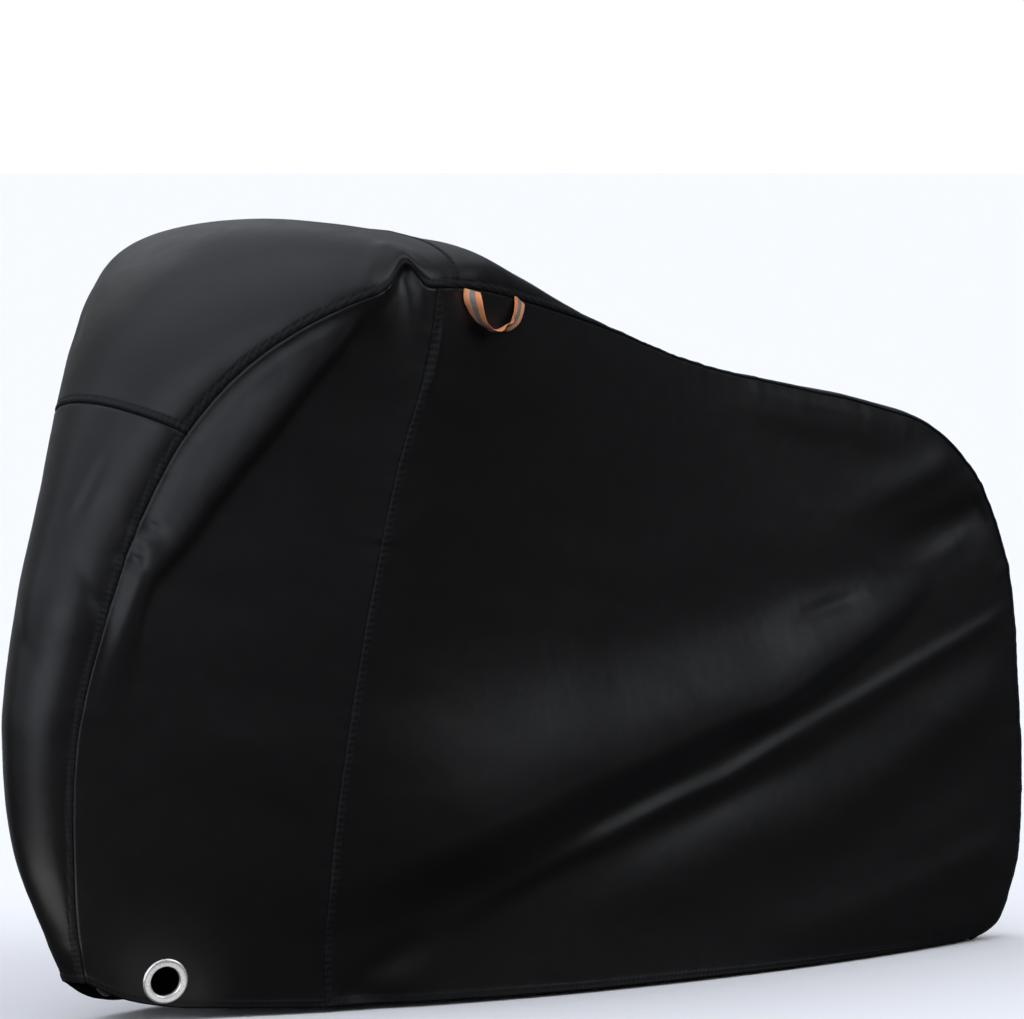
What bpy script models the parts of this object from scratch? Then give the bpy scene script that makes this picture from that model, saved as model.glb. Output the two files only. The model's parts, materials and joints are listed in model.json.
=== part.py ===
"""Fitted cover for one bicycle, as it stands when it is drawn over one: an open-bottomed, hollow form.

Metres, +Z up. The origin is under the middle of the cover, at the height of its hem. The front wheel's end
is at -X, the left side is at -Y, and the plane Y = 0 runs through both wheels.

A long strip in three cuts (front_gusset, hood, rear_strip) runs from the front hem up over the handlebar and
down to the rear hem. Its two edges are the seam line. A left and a right side panel hang from that line, each
in a front half and a rear half (side_front, side_rear) that meet in an upright seam below the bar end. The
low front corner of each panel is a piece of its own (eyelet_strip) with a metal eyelet in it (eyelet_ring).
A webbing loop hangs below the hood's rear edge on the left.
"""
from collections import namedtuple
from math import cos, pi, sin

import bmesh
import bpy
import numpy as np
from mathutils import Matrix, Vector

# Driving sizes
CLOTH = 0.0020              # thickness of every cloth solid
SEAM_GAP = 0.0003           # between two pieces that are sewn together
EYELET_HEIGHT = 0.036       # the eyelet's centre above the hem
EYELET_ALONG = 0.118        # the eyelet's centre behind the front seam, along the hem
EYELET_FLAT = 0.046         # radius of the cloth that lies flat round an eyelet
EYELET_BLEND = 0.085        # radius at which that cloth is back in its own shape
RING_BORE = 0.0215          # radius of the open hole
RING_BARREL = 0.0250        # radius of the barrel in the groove that grips the cloth
RING_RIM = 0.0330           # outer radius
RING_STAND = 0.0028         # how far the ring stands off the outer face of the cloth
RING_BACK = 0.0017          # and off its inner face
RING_SIDES = 28
WEB_WIDTH = 0.025
WEB_THICK = 0.0020
WEB_STEPS = 22

# Cells of the surface's grid
ROWS = 22                   # up a side panel, from the hem to the seam line
FRONT_COLUMNS = 7           # across a front half
REAR_COLUMNS = 20           # across a rear half
STRIP_COLUMNS = 10          # across the gusset, hood and rear strip
GUSSET_ROWS = 14            # of the ROWS, those below the cross seam
EYELET_CELLS = (2, 4)       # rows and columns of the hem corner that holds the eyelet
FINE_STEPS = 600            # steps by which a curve's length is measured
ARCH_STEPS = 361            # and an arch's

Station = namedtuple("Station", "name x z half crown fullness")
Point = namedtuple("Point", "name x z half")
Fold = namedtuple("Fold", "name x1 z1 x2 z2 height spread1 spread2")
Bend = namedtuple("Bend", "name x y z turn")

# The seam line, from the front hem over the bar to the rear hem. half is its distance from the middle plane.
# crown is how far the strip stands above it. fullness is 2 for an elliptic arch and more for a squarer one.
SEAM_LINE = [
    Station("front hem", -0.870, 0.055, 0.024, 0.003, 2.0),
    Station("tyre low", -0.892, 0.124, 0.033, 0.018, 2.0),
    Station("tyre front", -0.914, 0.240, 0.050, 0.050, 2.0),
    Station("tyre top", -0.916, 0.400, 0.062, 0.066, 2.0),
    Station("above tyre", -0.882, 0.555, 0.078, 0.070, 2.0),
    Station("lamp", -0.827, 0.705, 0.096, 0.076, 2.0),
    Station("cross seam", -0.772, 0.817, 0.125, 0.084, 2.1),
    Station("below bar", -0.708, 0.908, 0.176, 0.092, 2.0),
    Station("bar front", -0.633, 0.972, 0.238, 0.096, 2.0),
    Station("bar end", -0.540, 1.012, 0.288, 0.094, 2.2),
    Station("bar back", -0.455, 1.016, 0.294, 0.087, 2.4),
    Station("hood back", -0.405, 1.015, 0.287, 0.080, 2.4),
    Station("loop", -0.334, 1.008, 0.268, 0.073, 2.4),
    Station("stem", -0.230, 0.990, 0.236, 0.053, 2.3),
    Station("top tube", -0.036, 0.950, 0.180, 0.017, 2.0),
    Station("saddle nose", 0.221, 0.885, 0.120, 0.010, 2.0),
    Station("saddle", 0.450, 0.844, 0.095, 0.012, 2.0),
    Station("saddle back", 0.606, 0.815, 0.085, 0.014, 2.0),
    Station("rear shoulder", 0.743, 0.775, 0.080, 0.017, 2.0),
    Station("rear bend", 0.842, 0.698, 0.075, 0.020, 2.0),
    Station("rear tyre top", 0.904, 0.588, 0.070, 0.022, 2.0),
    Station("rear tyre", 0.943, 0.359, 0.062, 0.025, 2.0),
    Station("rear tyre low", 0.956, 0.230, 0.056, 0.025, 2.0),
    Station("rear low", 0.947, 0.090, 0.048, 0.018, 2.0),
    Station("rear turn", 0.915, 0.020, 0.042, 0.009, 2.0),
    Station("rear hem", 0.875, 0.001, 0.038, 0.003, 2.0),
]

# The upright seam of a side panel, from the hem to the seam line
UPRIGHT_SEAM = [
    Point("hem", -0.523, 0.005, 0.135),
    Point("low", -0.544, 0.124, 0.155),
    Point("crank", -0.556, 0.290, 0.190),
    Point("down tube", -0.550, 0.430, 0.220),
    Point("head tube", -0.535, 0.590, 0.246),
    Point("lever", -0.501, 0.795, 0.276),
    Point("under bar", -0.468, 0.915, 0.289),
    Point("bar back", -0.455, 1.016, 0.294),
]

# The hem of the front half and of the rear half
FRONT_HEM = [
    Point("front hem", -0.870, 0.055, 0.024),
    Point("corner", -0.814, 0.029, 0.042),
    Point("eyelet", -0.758, 0.017, 0.062),
    Point("behind eyelet", -0.670, 0.011, 0.093),
    Point("upright seam", -0.523, 0.005, 0.135),
]
REAR_HEM = [
    Point("upright seam", -0.523, 0.005, 0.135),
    Point("crank front", -0.370, 0.004, 0.167),
    Point("pedal", -0.142, 0.002, 0.190),
    Point("crank back", 0.100, 0.002, 0.186),
    Point("stay", 0.330, 0.001, 0.163),
    Point("hub", 0.570, 0.001, 0.120),
    Point("rear tyre", 0.760, 0.001, 0.074),
    Point("rear hem", 0.875, 0.001, 0.038),
]

# Folds of a side panel: each runs straight from (x1, z1) to (x2, z2), stands out by height at its middle (a
# negative one is a trough), and is spread1 wide at its first end and spread2 at its other end.
FOLDS = [
    Fold("shoulder ridge", 0.77, 0.775, 0.45, 0.645, 0.010, 0.020, 0.045),
    Fold("shoulder trough", 0.86, 0.690, 0.51, 0.640, -0.012, 0.022, 0.040),
    Fold("middle ridge", 0.88, 0.640, 0.53, 0.565, 0.007, 0.020, 0.030),
    Fold("broad band", 0.77, 0.570, -0.27, 0.400, 0.016, 0.025, 0.075),
    Fold("deep trough", 0.86, 0.575, -0.03, 0.262, -0.020, 0.022, 0.032),
    Fold("sharp ridge", 0.93, 0.520, -0.19, 0.205, 0.013, 0.020, 0.026),
    Fold("narrow trough", 0.91, 0.470, -0.23, 0.165, -0.012, 0.018, 0.026),
    Fold("soft ridge", 0.94, 0.440, -0.21, 0.115, 0.014, 0.025, 0.040),
    Fold("low trough", 0.94, 0.300, 0.13, 0.120, -0.010, 0.035, 0.050),
    Fold("low ridge", 0.95, 0.210, 0.33, 0.075, 0.010, 0.025, 0.040),
    Fold("bar end trough", -0.567, 0.980, -0.552, 0.600, -0.012, 0.018, 0.028),
    Fold("front ridge", -0.570, 0.985, -0.845, 0.560, 0.013, 0.020, 0.030),
    Fold("hem tuck", -0.480, 0.060, -0.400, 0.000, -0.010, 0.030, 0.025),
]
FAR_SIDE_FOLDS = 0.6        # how strongly the same folds show on the right side panel
FOLD_ENDS = 0.7             # how bluntly a fold fades out at its ends: less is blunter

# The middle of the webbing loop, from its front end to its rear end. turn is the direction of the band's
# width, in degrees from +X towards +Y. Its ends are against the side panel, and its bottom stands on edge.
WEB_LOOP = [
    Bend("front end", -0.387, -0.2912, 1.011, -15),
    Bend("front top", -0.390, -0.2945, 1.003, -40),
    Bend("front middle", -0.388, -0.297, 0.991, -62),
    Bend("front low", -0.383, -0.296, 0.981, -76),
    Bend("front turn", -0.372, -0.293, 0.968, -98),
    Bend("near bottom", -0.356, -0.288, 0.960, -120),
    Bend("bottom", -0.335, -0.283, 0.955, -133),
    Bend("past bottom", -0.314, -0.276, 0.958, -143),
    Bend("rear turn", -0.292, -0.268, 0.962, -151),
    Bend("rear low", -0.273, -0.260, 0.972, -155),
    Bend("rear middle", -0.261, -0.252, 0.985, -158),
    Bend("rear end", -0.255, -0.2460, 0.994, -160),
]

LEFT, RIGHT = -1, 1         # the sign of Y


# ---------------------------------------------------------------- curves

def numbers(rows):
    """The rows' measures, without their names."""
    return np.array([row[1:] for row in rows], float)


def row_named(rows, name):
    """The number of the row with this name."""
    return [row.name for row in rows].index(name)


def smooth(points, at):
    """Points of the smooth curve through the rows, at row numbers that may be fractions.

    The first three columns are lengths, by which the rows are spaced.
    """
    step = np.linalg.norm(np.diff(points[:, :3], axis=0), axis=1)[:, None]
    slope = np.diff(points, axis=0) / step
    tangent = np.empty_like(points)
    tangent[1:-1] = (slope[:-1] * step[1:] + slope[1:] * step[:-1]) / (step[:-1] + step[1:])
    tangent[0] = (3 * slope[0] - tangent[1]) / 2
    tangent[-1] = (3 * slope[-1] - tangent[-2]) / 2
    at = np.asarray(at, float)
    i = np.clip(at.astype(int), 0, len(points) - 2)
    f = (at - i)[:, None]
    rise = 3 * f ** 2 - 2 * f ** 3
    lead = (f ** 3 - 2 * f ** 2 + f) * step[i] * tangent[i]
    trail = (f ** 3 - f ** 2) * step[i] * tangent[i + 1]
    return (1 - rise) * points[i] + rise * points[i + 1] + lead + trail


def even_rows(points, first, last, cells):
    """Row numbers from first to last that cut the curve between them into cells of equal length."""
    fine = np.linspace(first, last, FINE_STEPS)
    path = smooth(points, fine)[:, :3]
    length = np.r_[0, np.cumsum(np.linalg.norm(np.diff(path, axis=0), axis=1))]
    return np.interp(np.linspace(0, length[-1], cells + 1), length, fine)


def chain(*parts):
    """Joins runs of row numbers whose ends meet."""
    return np.r_[parts[0], np.concatenate([part[1:] for part in parts[1:]])]


def on_side(measures, side):
    """Turns x, z, half-width into points on the left or the right side."""
    x, z, half = measures[:, 0], measures[:, 1], measures[:, 2]
    return np.stack([x, side * half, z], 1)


# ---------------------------------------------------------------- the cover's surface

def seam_runs():
    """Row numbers along the seam line: up the front, over the bar end, along the top, down the rear."""
    line = numbers(SEAM_LINE)
    row = {name: row_named(SEAM_LINE, name)
           for name in ("cross seam", "bar end", "bar back", "hood back", "rear bend")}
    front = chain(even_rows(line, 0, row["cross seam"], GUSSET_ROWS),
                  even_rows(line, row["cross seam"], row["bar end"], ROWS - GUSSET_ROWS))
    bar = even_rows(line, row["bar end"], row["bar back"], FRONT_COLUMNS)
    top = chain(even_rows(line, row["bar back"], row["hood back"], 1),
                even_rows(line, row["hood back"], row["rear bend"], REAR_COLUMNS - 1))
    rear = even_rows(line, row["rear bend"], len(line) - 1, ROWS)
    return front, bar, top, rear


def patch(left, right, bottom, top):
    """A grid of points between four edges. left and right run upwards, bottom and top from left to right."""
    v = np.linspace(0, 1, len(left))[:, None, None]
    u = np.linspace(0, 1, len(bottom))[None, :, None]
    sides = (1 - u) * left[:, None] + u * right[:, None]
    ends = (1 - v) * bottom[None] + v * top[None]
    corners = ((1 - u) * (1 - v) * bottom[0] + u * (1 - v) * bottom[-1]
               + (1 - u) * v * top[0] + u * v * top[-1])
    return sides + ends - corners


def side_grids(side):
    """The front and the rear half of one side panel."""
    line = numbers(SEAM_LINE)
    front, bar, top, rear = (on_side(smooth(line, run), side) for run in seam_runs())

    def edge(rows, cells):
        """The curve through a table's rows, in cells of equal length."""
        points = numbers(rows)
        return on_side(smooth(points, even_rows(points, 0, len(rows) - 1, cells)), side)

    upright = edge(UPRIGHT_SEAM, ROWS)
    front_half = patch(front, upright, edge(FRONT_HEM, FRONT_COLUMNS), bar)
    rear_half = patch(upright, rear[::-1], edge(REAR_HEM, REAR_COLUMNS), top)
    return front_half, rear_half


def arch(fullness):
    """Across and height of a unit arch, at even steps round it."""
    turn = np.linspace(-pi / 2, pi / 2, ARCH_STEPS)
    across = np.sign(np.sin(turn)) * np.abs(np.sin(turn)) ** (2 / fullness)
    height = np.abs(np.cos(turn)) ** (2 / fullness)
    height[0] = height[-1] = 0
    return across, height


def strip_grid():
    """The gusset, hood and rear strip: arches between the left and the right seam line."""
    stations = smooth(numbers(SEAM_LINE), chain(*seam_runs()))
    path = stations[:, :2]
    along = np.gradient(path, axis=0)
    for _ in range(2):
        along[1:-1] = (along[:-2] + 2 * along[1:-1] + along[2:]) / 4
    along /= np.linalg.norm(along, axis=1)[:, None]
    grid = np.zeros((len(stations), STRIP_COLUMNS + 1, 3))
    for i, (x, z, half, crown, fullness) in enumerate(stations):
        across, height = arch(fullness)
        across, height = across * half, height * crown
        length = np.r_[0, np.cumsum(np.hypot(np.diff(across), np.diff(height)))]
        even = np.linspace(0, length[-1], STRIP_COLUMNS + 1)
        across, height = np.interp(even, length, across), np.interp(even, length, height)
        outward_x, outward_z = -along[i, 1], along[i, 0]
        grid[i] = np.stack([x + outward_x * height, across, z + outward_z * height], 1)
    return grid


def fold_height(x, z):
    """How far the folds push the side panel outwards at a place in it."""
    total = np.zeros_like(x)
    for fold in FOLDS:
        start, run = np.array([fold.x1, fold.z1]), np.array([fold.x2 - fold.x1, fold.z2 - fold.z1])
        length = np.hypot(*run)
        run = run / length
        t = ((x - start[0]) * run[0] + (z - start[1]) * run[1]) / length
        off = (x - start[0]) * run[1] - (z - start[1]) * run[0]
        spread = fold.spread1 + (fold.spread2 - fold.spread1) * np.clip(t, 0, 1)
        reach = np.sin(pi * np.clip(t, 0, 1)) ** FOLD_ENDS
        total += fold.height * reach * np.exp(-(off / spread) ** 2)
    return total


class Surface:
    """The whole cloth surface as welded points and labelled faces, with an outward normal at each point."""

    def __init__(self):
        self.points, self.index, self.faces = [], {}, []

    def weld(self, point):
        """The id of a point, which is a known one if there is one within a hundredth of a millimetre."""
        key = tuple(np.round(point, 5) + 0.0)
        if key not in self.index:
            self.index[key] = len(self.points)
            self.points.append(np.array(point, float))
        return self.index[key]

    def add_grid(self, grid, flip, label):
        """Adds a grid's cells. label gives the piece of a cell from its row and column."""
        ids = np.array([[self.weld(point) for point in row] for row in grid])
        for i in range(ids.shape[0] - 1):
            for j in range(ids.shape[1] - 1):
                corners = [ids[i, j], ids[i, j + 1], ids[i + 1, j + 1], ids[i + 1, j]]
                self.faces.append((label(i, j), corners[::-1] if flip else corners))
        return ids

    def finish(self):
        """Turns the points into one array, once every grid is in."""
        self.points = np.array(self.points)
        self.find_normals()

    def find_normals(self):
        """Finds the outward normal at each point from the faces round it."""
        normals = np.zeros_like(self.points)
        for _, corners in self.faces:
            a, b, c, d = self.points[corners]
            normals[corners] += np.cross(c - a, d - b)
        self.normals = normals / np.linalg.norm(normals, axis=1)[:, None]


def build_surface():
    """Makes the surface and returns it with the ids of each side's front half."""
    surface = Surface()
    hood_end = ROWS + FRONT_COLUMNS + 1

    def strip_piece(i, _):
        """The cut of the long strip that its row i belongs to."""
        if i < GUSSET_ROWS:
            return "front_gusset"
        return "hood" if i < hood_end else "rear_strip"

    surface.add_grid(strip_grid(), True, strip_piece)
    fronts = {}
    for side, word in ((LEFT, "left"), (RIGHT, "right")):
        front_half, rear_half = side_grids(side)

        def front_piece(i, j, word=word):
            """The eyelet strip in the low front corner, and the side panel elsewhere."""
            in_corner = i < EYELET_CELLS[0] and j < EYELET_CELLS[1]
            return ("eyelet_strip_" if in_corner else "side_front_") + word

        flip = side == RIGHT
        fronts[side] = surface.add_grid(front_half, flip, front_piece)
        surface.add_grid(rear_half, flip, lambda i, j, word=word: "side_rear_" + word)
    surface.finish()
    panel_faces = [corners for piece, corners in surface.faces if piece.startswith(("side", "eyelet"))]
    panel = np.unique(panel_faces)
    x, y, z = surface.points[panel].T
    strength = np.where(y < 0, 1.0, FAR_SIDE_FOLDS)
    surface.points[panel, 1] += np.sign(y) * strength * fold_height(x, z)
    surface.find_normals()
    return surface, fronts


# ---------------------------------------------------------------- eyelets

def eyelet_frame(surface, ids, side):
    """Lays the cloth round an eyelet flat. Returns the eyelet's place: centre, rearward, upward, outward."""
    hem = surface.points[ids[0]]
    length = np.r_[0, np.cumsum(np.linalg.norm(np.diff(hem, axis=0), axis=1))]
    foot = np.array([np.interp(EYELET_ALONG, length, hem[:, k]) for k in range(3)])
    ahead = np.array([np.interp(EYELET_ALONG + EYELET_HEIGHT, length, hem[:, k]) for k in range(3)])
    rearward = (ahead - foot) / np.linalg.norm(ahead - foot)
    second = surface.points[ids[2]]
    nearest = second[np.argmin(np.linalg.norm(second - foot, axis=1))]
    lift = nearest - foot
    lift -= rearward * (lift @ rearward)
    upward = lift / np.linalg.norm(lift)
    outward = np.cross(upward, rearward) * side
    centre = foot + upward * EYELET_HEIGHT
    near = np.unique(ids)
    rel = surface.points[near] - centre
    height = rel @ outward
    radius = np.linalg.norm(rel - height[:, None] * outward, axis=1)
    keep = np.clip((radius - EYELET_FLAT) / (EYELET_BLEND - EYELET_FLAT), 0, 1)
    keep = keep * keep * (3 - 2 * keep)
    surface.points[near] -= ((1 - keep) * height)[:, None] * outward
    return centre, rearward, upward, outward


def circle(frame, radius, sink):
    """RING_SIDES points round an eyelet, sunk below the cloth's outer face."""
    centre, rearward, upward, outward = frame
    turns = [2 * pi * k / RING_SIDES for k in range(RING_SIDES)]
    return [centre + radius * (cos(a) * rearward + sin(a) * upward) - sink * outward for a in turns]


def ring_mesh():
    """The pressed metal eyelet about its own Z: a barrel with a flange on each side of the cloth."""
    face = CLOTH / 2 + SEAM_GAP
    front, back = face + RING_STAND, face + RING_BACK
    mm = 0.001
    profile = [
        (RING_BORE, 0.0),
        (RING_BORE, front - 1.6 * mm),
        (RING_BORE + 1.0 * mm, front - 0.5 * mm),
        (RING_BORE + 2.8 * mm, front),
        (RING_RIM - 3.6 * mm, front),
        (RING_RIM - 1.2 * mm, front - 0.7 * mm),
        (RING_RIM, front - 2.0 * mm),
        (RING_RIM, face),
        (RING_BARREL, face),
        (RING_BARREL, -face),
        (RING_RIM - 0.5 * mm, -face),
        (RING_RIM - 0.5 * mm, -back + 0.7 * mm),
        (RING_RIM - 2.0 * mm, -back),
        (RING_BORE + 1.4 * mm, -back),
        (RING_BORE, -back + 0.8 * mm),
    ]
    bm = bmesh.new()
    verts = [bm.verts.new((radius, 0.0, height)) for radius, height in profile]
    edges = [bm.edges.new((verts[k], verts[(k + 1) % len(verts)])) for k in range(len(verts))]
    bmesh.ops.spin(bm, geom=verts + edges, cent=(0, 0, 0), axis=(0, 0, 1), angle=2 * pi,
                   steps=RING_SIDES, use_merge=True, use_duplicate=False)
    bmesh.ops.remove_doubles(bm, verts=bm.verts, dist=1e-6)
    bmesh.ops.recalc_face_normals(bm, faces=bm.faces)
    mesh = bpy.data.meshes.new("eyelet_ring")
    bm.to_mesh(mesh)
    bm.free()
    return mesh


# ---------------------------------------------------------------- cloth solids

class Faces(list):
    """A piece's faces, with its directed edges and its rim."""

    def __init__(self, faces):
        super().__init__(list(map(int, corners)) for corners in faces)
        self.directed = {(a, b) for corners in self for a, b in zip(corners, corners[1:] + corners[:1])}
        self.rim = {frozenset(edge) for edge in self.directed if edge[::-1] not in self.directed}


def seam_setback(faces, points, normals, seam_edges):
    """Moves a piece's sewn edges back into the piece by half the seam's gap, mitred at its corners."""
    inward = {}
    for corners in faces:
        middle = points[corners].mean(0)
        for a, b in zip(corners, corners[1:] + corners[:1]):
            edge = frozenset((a, b))
            if edge not in faces.rim:
                continue
            along = points[b] - points[a]
            along = along / np.linalg.norm(along)
            up = normals[a] + normals[b]
            into = np.cross(up, along)
            into /= np.linalg.norm(into)
            if into @ (middle - points[a]) < 0:
                into = -into
            gap = SEAM_GAP / 2 if edge in seam_edges else 0.0
            for corner in (a, b):
                inward.setdefault(corner, []).append((into, gap))
    straight_on = 0.995
    moved = {}
    for corner, sides in inward.items():
        rows = np.array([into for into, _ in sides])
        gaps = np.array([gap for _, gap in sides])
        if rows[0] @ rows[-1] > straight_on:
            step = gaps.max() * rows.sum(0) / np.linalg.norm(rows.sum(0))
        else:
            step = np.linalg.lstsq(rows, gaps, rcond=None)[0]
        moved[corner] = step
    return moved


def thick_mesh(name, outer_faces, outer, inner):
    """A closed solid from outer faces: the outer and inner sheets and the rims that join them."""
    bm = bmesh.new()
    used = sorted({i for corners in outer_faces for i in corners})
    top = {i: bm.verts.new(outer[i]) for i in used}
    under = {i: bm.verts.new(inner[i]) for i in used}
    for corners in outer_faces:
        bm.faces.new([top[i] for i in corners])
        bm.faces.new([under[i] for i in reversed(corners)])
    for a, b in outer_faces.directed:
        if frozenset((a, b)) in outer_faces.rim:
            bm.faces.new([top[b], top[a], under[a], under[b]])
    bmesh.ops.triangulate(bm, faces=bm.faces)
    mesh = bpy.data.meshes.new(name)
    bm.to_mesh(mesh)
    bm.free()
    return mesh


def zip_loops(outer_loop, inner_loop, angle):
    """Triangles between two loops round one centre, both listed anticlockwise. angle gives a point's turn."""
    def from_lowest(loop):
        """The loop again, from the point with the smallest turn."""
        start = min(range(len(loop)), key=lambda k: angle[loop[k]])
        return loop[start:] + loop[:start]

    outside, inside = from_lowest(outer_loop), from_lowest(inner_loop)
    triangles, i, j = [], 0, 0
    while i < len(outside) or j < len(inside):
        next_outer = angle[outside[i + 1]] if i + 1 < len(outside) else 2 * pi + angle[outside[0]]
        next_inner = angle[inside[j + 1]] if j + 1 < len(inside) else 2 * pi + angle[inside[0]]
        here_outer, here_inner = outside[i % len(outside)], inside[j % len(inside)]
        if j >= len(inside) or (i < len(outside) and next_outer <= next_inner):
            triangles.append([here_outer, outside[(i + 1) % len(outside)], here_inner])
            i += 1
        else:
            triangles.append([here_outer, inside[(j + 1) % len(inside)], here_inner])
            j += 1
    return triangles


def rim_loop(faces):
    """The rim of a piece with one edge, as one loop in the order in which its faces turn."""
    follow = {a: b for a, b in faces.directed if frozenset((a, b)) in faces.rim}
    start = next(iter(sorted(follow)))
    loop = [start]
    while follow[loop[-1]] != start:
        loop.append(follow[loop[-1]])
    return loop


def cloth_pieces(surface, frames):
    """Each cloth piece's mesh by its name."""
    pieces = {}
    for label, corners in surface.faces:
        pieces.setdefault(label, []).append(corners)
    pieces = {label: Faces(faces) for label, faces in pieces.items()}
    rims = [edge for faces in pieces.values() for edge in faces.rim]
    seam_edges = {edge for edge in rims if rims.count(edge) > 1}
    meshes = {}
    for label, faces in pieces.items():
        shift = seam_setback(faces, surface.points, surface.normals, seam_edges)
        outer = {i: surface.points[i] + shift.get(i, 0) for corners in faces for i in corners}
        inner = {i: outer[i] - CLOTH * surface.normals[i] for i in outer}
        if label.startswith("eyelet_strip"):
            frame = frames[LEFT if label.endswith("left") else RIGHT]
            faces = punch_hole(faces, outer, inner, frame)
        meshes[label] = thick_mesh(label, faces, outer, inner)
    return meshes


def punch_hole(faces, outer, inner, frame):
    """The hem corner's faces again, round the eyelet's hole. Adds the new points to outer and inner."""
    centre, rearward, upward, _ = frame
    border = rim_loop(faces)
    first = max(outer) + 1
    rings = []
    for radius in (RING_RIM + 4 * SEAM_GAP, RING_BARREL + SEAM_GAP):
        ids = list(range(first, first + RING_SIDES))
        outer.update(zip(ids, circle(frame, radius, 0.0)))
        inner.update(zip(ids, circle(frame, radius, CLOTH)))
        rings.append(ids)
        first += RING_SIDES
    angle = {}
    for i in border + rings[0]:
        rel = outer[i] - centre
        angle[i] = np.arctan2(rel @ upward, rel @ rearward) % (2 * pi)
    turns = [angle[i] for i in border]
    rising = sum(((b - a + pi) % (2 * pi)) - pi for a, b in zip(turns, turns[1:] + turns[:1])) > 0
    loop = border if rising else border[::-1]
    made = zip_loops(loop, rings[0], angle)
    for k in range(RING_SIDES):
        n = (k + 1) % RING_SIDES
        made.append([rings[0][k], rings[0][n], rings[1][n], rings[1][k]])
    if not rising:
        made = [face[::-1] for face in made]
    return Faces(made)


# ---------------------------------------------------------------- webbing loop

def loop_mesh():
    """The webbing loop in its place: a flat band swept along the rows of WEB_LOOP."""
    rows = numbers(WEB_LOOP)
    at = even_rows(rows[:, :3], 0, len(rows) - 1, WEB_STEPS)
    middle = smooth(rows[:, :3], at)
    turns = np.interp(at, range(len(rows)), np.radians(rows[:, 3]))
    bm = bmesh.new()
    sections = []
    for k, (place, turn) in enumerate(zip(middle, turns)):
        ahead = Vector(middle[min(k + 1, WEB_STEPS)] - middle[max(k - 1, 0)]).normalized()
        width = Vector((cos(turn), sin(turn), 0))
        width = (width - width.dot(ahead) * ahead).normalized()
        thick = ahead.cross(width)
        corners = [Vector(place) + width * (WEB_WIDTH / 2) * a + thick * (WEB_THICK / 2) * b
                   for a, b in ((-1, -1), (1, -1), (1, 1), (-1, 1))]
        sections.append([bm.verts.new(corner) for corner in corners])
    for before, after in zip(sections, sections[1:]):
        for a in range(4):
            b = (a + 1) % 4
            bm.faces.new((before[a], before[b], after[b], after[a]))
    bm.faces.new(sections[0][::-1])
    bm.faces.new(sections[-1])
    bmesh.ops.recalc_face_normals(bm, faces=bm.faces)
    bmesh.ops.triangulate(bm, faces=bm.faces)
    mesh = bpy.data.meshes.new("webbing_loop")
    bm.to_mesh(mesh)
    bm.free()
    return mesh


# ---------------------------------------------------------------- objects

def material(name, colour, roughness, metallic=0.0):
    """A plain finish of one colour."""
    made = bpy.data.materials.new(name)
    made.use_nodes = True
    shader = made.node_tree.nodes["Principled BSDF"]
    shader.inputs["Base Color"].default_value = (*colour, 1.0)
    shader.inputs["Roughness"].default_value = roughness
    shader.inputs["Metallic"].default_value = metallic
    made.diffuse_color = (*colour, 1.0)
    return made


def add_object(name, mesh, surface_material, parent, place=None):
    """Adds a piece under the cover's empty, at a place of its own or with its mesh already in place."""
    made = bpy.data.objects.new(name, mesh)
    if not mesh.materials:
        mesh.materials.append(surface_material)
    bpy.context.scene.collection.objects.link(made)
    made.parent = parent
    if place is not None:
        made.matrix_world = place
    return made


def frame_matrix(origin, x_axis, y_axis, z_axis):
    """A placement from its origin and its three axes."""
    rotation = Matrix((x_axis, y_axis, z_axis)).transposed().to_4x4()
    return Matrix.Translation(Vector(origin)) @ rotation


def main():
    """Builds the cover: one object per cut piece, the two eyelets and the webbing loop."""
    for thing in list(bpy.data.objects):
        bpy.data.objects.remove(thing, do_unlink=True)
    cover = bpy.data.objects.new("bicycle_cover", None)
    bpy.context.scene.collection.objects.link(cover)
    cloth = material("coated black cloth", (0.012, 0.013, 0.015), 0.5)
    metal = material("nickel-plated eyelet", (0.72, 0.72, 0.72), 0.25, 1.0)
    webbing = material("orange and grey webbing", (0.75, 0.22, 0.05), 0.6)

    # The gusset, hood, rear strip, side panels and eyelet strips are cut from one surface, which is first
    # laid flat round the eyelets
    surface, fronts = build_surface()
    frames = {side: eyelet_frame(surface, ids, side) for side, ids in fronts.items()}
    surface.find_normals()
    for name, mesh in cloth_pieces(surface, frames).items():
        add_object(name, mesh, cloth, cover)

    # A pressed eyelet in each eyelet strip
    ring = ring_mesh()
    for side, word in ((LEFT, "left"), (RIGHT, "right")):
        centre, _, upward, outward = frames[side]
        middle = centre - CLOTH / 2 * outward
        across = np.cross(upward, outward)
        add_object("eyelet_ring_" + word, ring, metal, cover, frame_matrix(middle, across, upward, outward))

    # The webbing loop below the hood's rear edge, on the left
    add_object("webbing_loop", loop_mesh(), webbing, cover)


main()
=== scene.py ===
"""A fitted bicycle cover as it stands over a bicycle: sewn from coated black cloth, on a pale floor.

Metres, +Z up. The front of the cover is at -X and its left side at -Y. The cloth is one surface that is laid
out between the seams, pushed into its folds, worked along its seams and hems, and then cut into its pieces.
"""
import sys
import json
import logging
from dataclasses import dataclass, field
from enum import Enum
from math import cos, pi, radians, sin
from typing import Any, ClassVar, NamedTuple, Optional, Sequence, Union

import bpy
import numpy as np
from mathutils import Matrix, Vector
from mathutils.kdtree import KDTree

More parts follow.
